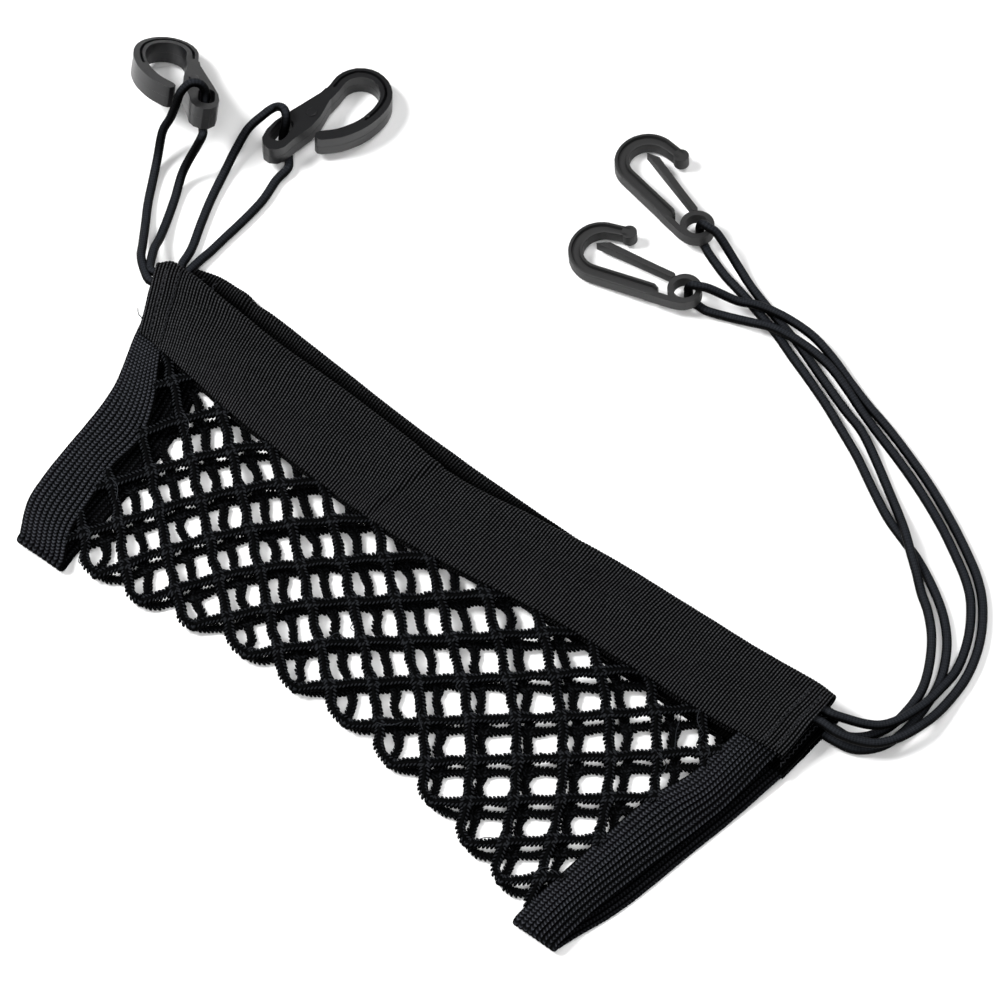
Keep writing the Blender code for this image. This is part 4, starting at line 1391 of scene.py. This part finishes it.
# Stage, in metres.
CAMERA_PLACE = Vector((0.4594, -0.5762, 1.2990))
CAMERA_TARGET = Vector((0.007, 0.022, 0.0))
CAMERA_HEADING = math.radians(37.1)   # which way the camera's right side points
FLOOR_REACH = 4
FLOOR_HEIGHT = -0.0003
# Each light's place, width and power in watts.
LIGHTS = {
    "key_light": ((-0.95, -0.45, 1.35), 0.6, 34),
    "fill_light": ((0.7, -0.9, 1.7), 1.2, 22),
    "rim_light": ((0.2, 1.2, 1.6), 1.2, 16),
}
WORLD_LIGHT = 0.12

# Creases across each casing: place, slant, depth and width in mm.
CREASES = {
    "casing_front": ((141.0, -22.0, 0.6, 1.8), (10.0, -5.0, 0.6, 2.6)),
    "casing_back": ((24.0, 0.0, 1.0, 3.0),),
}
# The net's stitches: shares of half a strand's width, and of their own pitch for the width.
STITCH_SHARES = {
    "Stitch Length": 0.5,
    "Stitch Height": 0.5,
    "Spread": 0.47,
    "Core Radius": 0.46,
}
STITCH_WIDTH_SHARE = 0.41
STITCH_SLANT = 0.8
STITCH_SEEDS = {"front": 3, "back": 8}
TACK_SIZES = {
    "Stitch Pitch": 0.0006,
    "Stitch Length": 0.0004,
    "Stitch Width": 0.00022,
    "Stitch Height": 0.0002,
    "Spread": 0.0001,
    "Slant": 0.3,
    "Core Radius": 0.00015,
    "Core Step": 0.001,
}

# Bars of stitches: the casing's end station, the one beside it, and how far in, in mm.
BARTACKS = ((0, 1, 4.4), (0, 1, 9.6), (-1, -2, 3.2), (-1, -2, 7.4))
TACK_WIDTH = 0.9
TACK_STITCHES = 24
BAND_WIDTH = 18.0
CHEVRON_PITCH = 1.35
CORD_STEP = 1.2      # from one ring of a cord's mesh to the next

# Each cloth's colour beside the one that its setting gives.
# painted shade: the net's back layer is a darker copy of its yarn, as if in shade behind the front
# layer
NET_BACK_PAINTED_SHADE = 0.45
# painted shade: the back casing is a darker copy of the grosgrain, as if in shade behind the front
# casing
BACK_CASING_PAINTED_SHADE = 0.8
# painted shade: the core between the stitches is nearly black, as if in shade under them
CORE_PAINTED_SHADE = 0.06
LOOSE_SHADE = 1.8


def sizes():
    return bpy.context.scene.storage_net_sizes


def colours():
    return bpy.context.scene.storage_net_colours


def tint(name):
    return tuple(getattr(colours(), name))


def both_rows():
    return casing_rows(FRONT_CASING), casing_rows(BACK_CASING)


# ---------------------------------------------------------------------------- operators


class STORAGENET_OT_stage(bpy.types.Operator):
    """Makes the camera, the lights and a plain pale floor"""

    bl_idname = "storage_net.stage"
    bl_label = "Stage"

    def execute(self, context):
        scene = context.scene
        scene.view_settings.view_transform = "Standard"
        ahead = (CAMERA_TARGET - CAMERA_PLACE).normalized()
        across = Vector((math.cos(CAMERA_HEADING), math.sin(CAMERA_HEADING), 0))
        up = across.cross(ahead)
        data = bpy.data.cameras.new("camera")
        data.lens = sizes().camera_lens
        data.sensor_width = 36
        data.clip_end = 20
        camera = linked("camera", data)
        turn = Matrix((across, up, -ahead)).transposed()
        camera.matrix_world = Matrix.Translation(CAMERA_PLACE) @ turn.to_4x4()
        scene.camera = camera
        floor = bpy.data.meshes.new("floor")
        corners = [(-1, -1), (1, -1), (1, 1), (-1, 1)]
        points = [(x * FLOOR_REACH, y * FLOOR_REACH, FLOOR_HEIGHT) for x, y in corners]
        floor.from_pydata(points, [], [(0, 1, 2, 3)])
        floor.materials.append(plain_finish("floor_paint", tint("floor"), 0.9))
        linked("floor", floor)
        for name, (where, size, power) in LIGHTS.items():
            lamp = bpy.data.lights.new(name, "AREA")
            lamp.shape = "DISK"
            lamp.size = size
            lamp.energy = power
            light = linked(name, lamp)
            light.location = where
            light.rotation_euler = (-Vector(where)).to_track_quat("-Z", "Y").to_euler()
        world = bpy.data.worlds.new("studio")
        world.use_nodes = True
        background = world.node_tree.nodes["Background"].inputs
        background["Color"].default_value = (1, 1, 1, 1)
        background["Strength"].default_value = WORLD_LIGHT
        scene.world = world
        return {"FINISHED"}


class STORAGENET_OT_cords(bpy.types.Operator):
    """Makes the four elastic cord loops"""

    bl_idname = "storage_net.cords"
    bl_label = "Elastic cords"

    def execute(self, context):
        casings = dict(zip(("front", "back"), both_rows()))
        finish = braid_finish("braided_sheath", tint("braid"), 8, 2.2)
        for name in ROUTES:
            route, mouth = cord_route(name, casings)
            rough_length = lengths_along(route)[-1]
            path = smooth(route, round(rough_length / CORD_STEP) + 1)
            made = tube(name + "_braid", path, sizes().cord_diameter / MM / 2, finish, sides=16)
            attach(made, BODY)
            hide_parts(name)
            made["exit"] = list(mouth * MM)
            made["length"] = lengths_along(path)[-1] * MM
            made["path"] = (path * MM).ravel().tolist()
        return {"FINISHED"}


class STORAGENET_OT_casings(bpy.types.Operator):
    """Makes the two grosgrain casings and the stitching across their ends"""

    bl_idname = "storage_net.casings"
    bl_label = "Casings"

    def execute(self, context):
        thread = knit_finish("sewing_thread", tint("thread"))
        for name, table, seed in (
            ("casing_front", FRONT_CASING, 1.0),
            ("casing_back", BACK_CASING, 4.0),
        ):
            # painted shade: the back casing gets a darker copy of the ribbon colour
            shade = 1.0 if "front" in name else BACK_CASING_PAINTED_SHADE
            pitch = sizes().rib_pitch / MM
            finish = ribbon_finish(name + "_grosgrain", darker(tint("ribbon"), shade), pitch)
            above = casing_rows(FRONT_CASING) if "back" in name else None
            made = casing_cloth(
                name + "_ribbon", table, finish, pitch, seed, CREASES[name], above
            )
            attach(made, BODY)
            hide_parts(name)
            lines = []
            for end, inner, away in BARTACKS:
                rows = np.array([table[end], table[inner]], float)
                step = rows[1, [0, 1]] - rows[0, [0, 1]]
                step = step / np.linalg.norm(step)
                far = away / np.linalg.norm(rows[1, :2] - rows[0, :2])
                station = rows[0] + (rows[1] - rows[0]) * far
                lines.append(bartack_line(step, station, TACK_WIDTH, TACK_STITCHES))
            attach(stitched(name + "_bartacks", lines, thread, thread, TACK_SIZES), BODY)
        return {"FINISHED"}


class STORAGENET_OT_bands(bpy.types.Operator):
    """Makes the two knitted elastic side bands"""

    bl_idname = "storage_net.bands"
    bl_label = "Side bands"

    def execute(self, context):
        rows = both_rows()
        ribs = sizes().band_ribs
        for name, front, back, seed in (
            ("band_left", LEFT_FRONT, LEFT_BACK, 2.0),
            ("band_right", RIGHT_FRONT, RIGHT_BACK, 5.0),
        ):
            fold = lengths_along(smooth(front, 60)[:, :2])[-1]
            finish = elastic_finish(
                name + "_knit", tint("elastic"), BAND_WIDTH / ribs, CHEVRON_PITCH, fold
            )
            made = band_cloth(name + "_elastic", front, back, rows, ribs, finish, seed)
            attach(made, BODY)
            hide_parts(name)
        return {"FINISHED"}


class STORAGENET_OT_net(bpy.types.Operator):
    """Makes the knitted net's two layers"""

    bl_idname = "storage_net.net"
    bl_label = "Net"

    def execute(self, context):
        # painted shade: the core is a nearly black copy of the net yarn
        core = knit_finish("net_core", darker(tint("knit"), CORE_PAINTED_SHADE))
        kept = strand_lines(*both_rows())
        half, pitch = sizes().strand_width / 2, sizes().stitch_pitch
        for side, lines in kept.items():
            # painted shade: the back layer's yarn is a darker copy of the front's
            shade = 1.0 if side == "front" else NET_BACK_PAINTED_SHADE
            finish = knit_finish(f"net_{side}_yarn", darker(tint("knit"), shade))
            shape = {"Seed": STITCH_SEEDS[side], "Slant": STITCH_SLANT, "Stitch Pitch": pitch}
            shape |= {label: half * share for label, share in STITCH_SHARES.items()}
            shape["Stitch Width"] = pitch * STITCH_WIDTH_SHARE
            made = stitched("net_" + side, lines, finish, core, shape)
            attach(made, BODY)
            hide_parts("net")
        light = knit_finish("loose_yarn", darker(tint("knit"), LOOSE_SHADE))
        lines = loose_lines(kept["front"], count=20, seed=11)
        loose = threads("net_loose_threads", lines, FILAMENT_RADIUS, light)
        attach(loose, BODY)
        return {"FINISHED"}


class STORAGENET_OT_snap_hooks(bpy.types.Operator):
    """Makes the two snap hooks on the left cords"""

    bl_idname = "storage_net.snap_hooks"
    bl_label = "Snap hooks"

    def execute(self, context):
        finish = moulded_finish("satin_nylon", tint("nylon"), 0.38, 0.5, coat=0.1)
        for end, placing in SNAP_HOOKS.items():
            node = f"snap_hook_{end}"
            made = snap_hook(node + "_moulding", node, placing, end == "front", finish)
            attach(made, BODY)
            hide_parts(node)
        return {"FINISHED"}


class STORAGENET_OT_j_hooks(bpy.types.Operator):
    """Makes the two J hooks and their spring tongues"""

    bl_idname = "storage_net.j_hooks"
    bl_label = "J hooks"

    def execute(self, context):
        finish = moulded_finish("matte_acetal", tint("acetal"), 0.55, 0.6)
        for end, placing in J_HOOKS.items():
            made = j_hook(f"j_hook_{end}_moulding", placing, finish)
            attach(made, BODY)
            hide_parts(f"j_hook_{end}")
            node = f"j_tongue_{end}"
            made = j_tongue(node + "_moulding", node, placing, finish)
            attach(made, node)
            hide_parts(node)
        return {"FINISHED"}


class STORAGENET_OT_declare_cords(bpy.types.Operator):
    """Takes the exit, length and path kept on each cord's braid off it again"""

    bl_idname = "storage_net.declare_cords"
    bl_label = "Cord facts"

    def execute(self, context):
        carried = {
            "cord_left_front": ["snap_hook_front_moulding"],
            "cord_left_back": ["snap_hook_back_moulding"],
            "cord_right_front": ["j_hook_front_moulding", "j_tongue_front_moulding"],
            "cord_right_back": ["j_hook_back_moulding", "j_tongue_back_moulding"],
        }
        for name, pieces in carried.items():
            made = bpy.data.objects[name + "_braid"]
            for key in ("exit", "length", "path"):
                del made[key]
        return {"FINISHED"}


class STORAGENET_PT_panel(bpy.types.Panel):
    """Lists the net's sizes, colours and steps"""

    bl_label = "Storage Net"
    bl_idname = "STORAGENET_PT_panel"
    bl_space_type = "VIEW_3D"
    bl_region_type = "UI"
    bl_category = "Storage Net"

    def draw(self, context):
        for group in (sizes(), colours()):
            box = self.layout.box()
            for name in group.__annotations__:
                box.prop(group, name)
        for step in STEPS:
            self.layout.operator(step.bl_idname)


STEPS = (
    STORAGENET_OT_stage,
    STORAGENET_OT_cords,
    STORAGENET_OT_casings,
    STORAGENET_OT_bands,
    STORAGENET_OT_net,
    STORAGENET_OT_snap_hooks,
    STORAGENET_OT_j_hooks,
    STORAGENET_OT_declare_cords,
)
CLASSES = (StorageNetSizes, StorageNetColours, *STEPS, STORAGENET_PT_panel)


def register():
    for each in CLASSES:
        bpy.utils.register_class(each)
    bpy.types.Scene.storage_net_sizes = bpy.props.PointerProperty(type=StorageNetSizes)
    bpy.types.Scene.storage_net_colours = bpy.props.PointerProperty(type=StorageNetColours)


def unregister():
    del bpy.types.Scene.storage_net_colours
    del bpy.types.Scene.storage_net_sizes
    for each in reversed(CLASSES):
        bpy.utils.unregister_class(each)


def main():
    register()
    for step in STEPS:
        group, name = step.bl_idname.split(".")
        getattr(getattr(bpy.ops, group), name)()


if __name__ == "__main__":
    main()
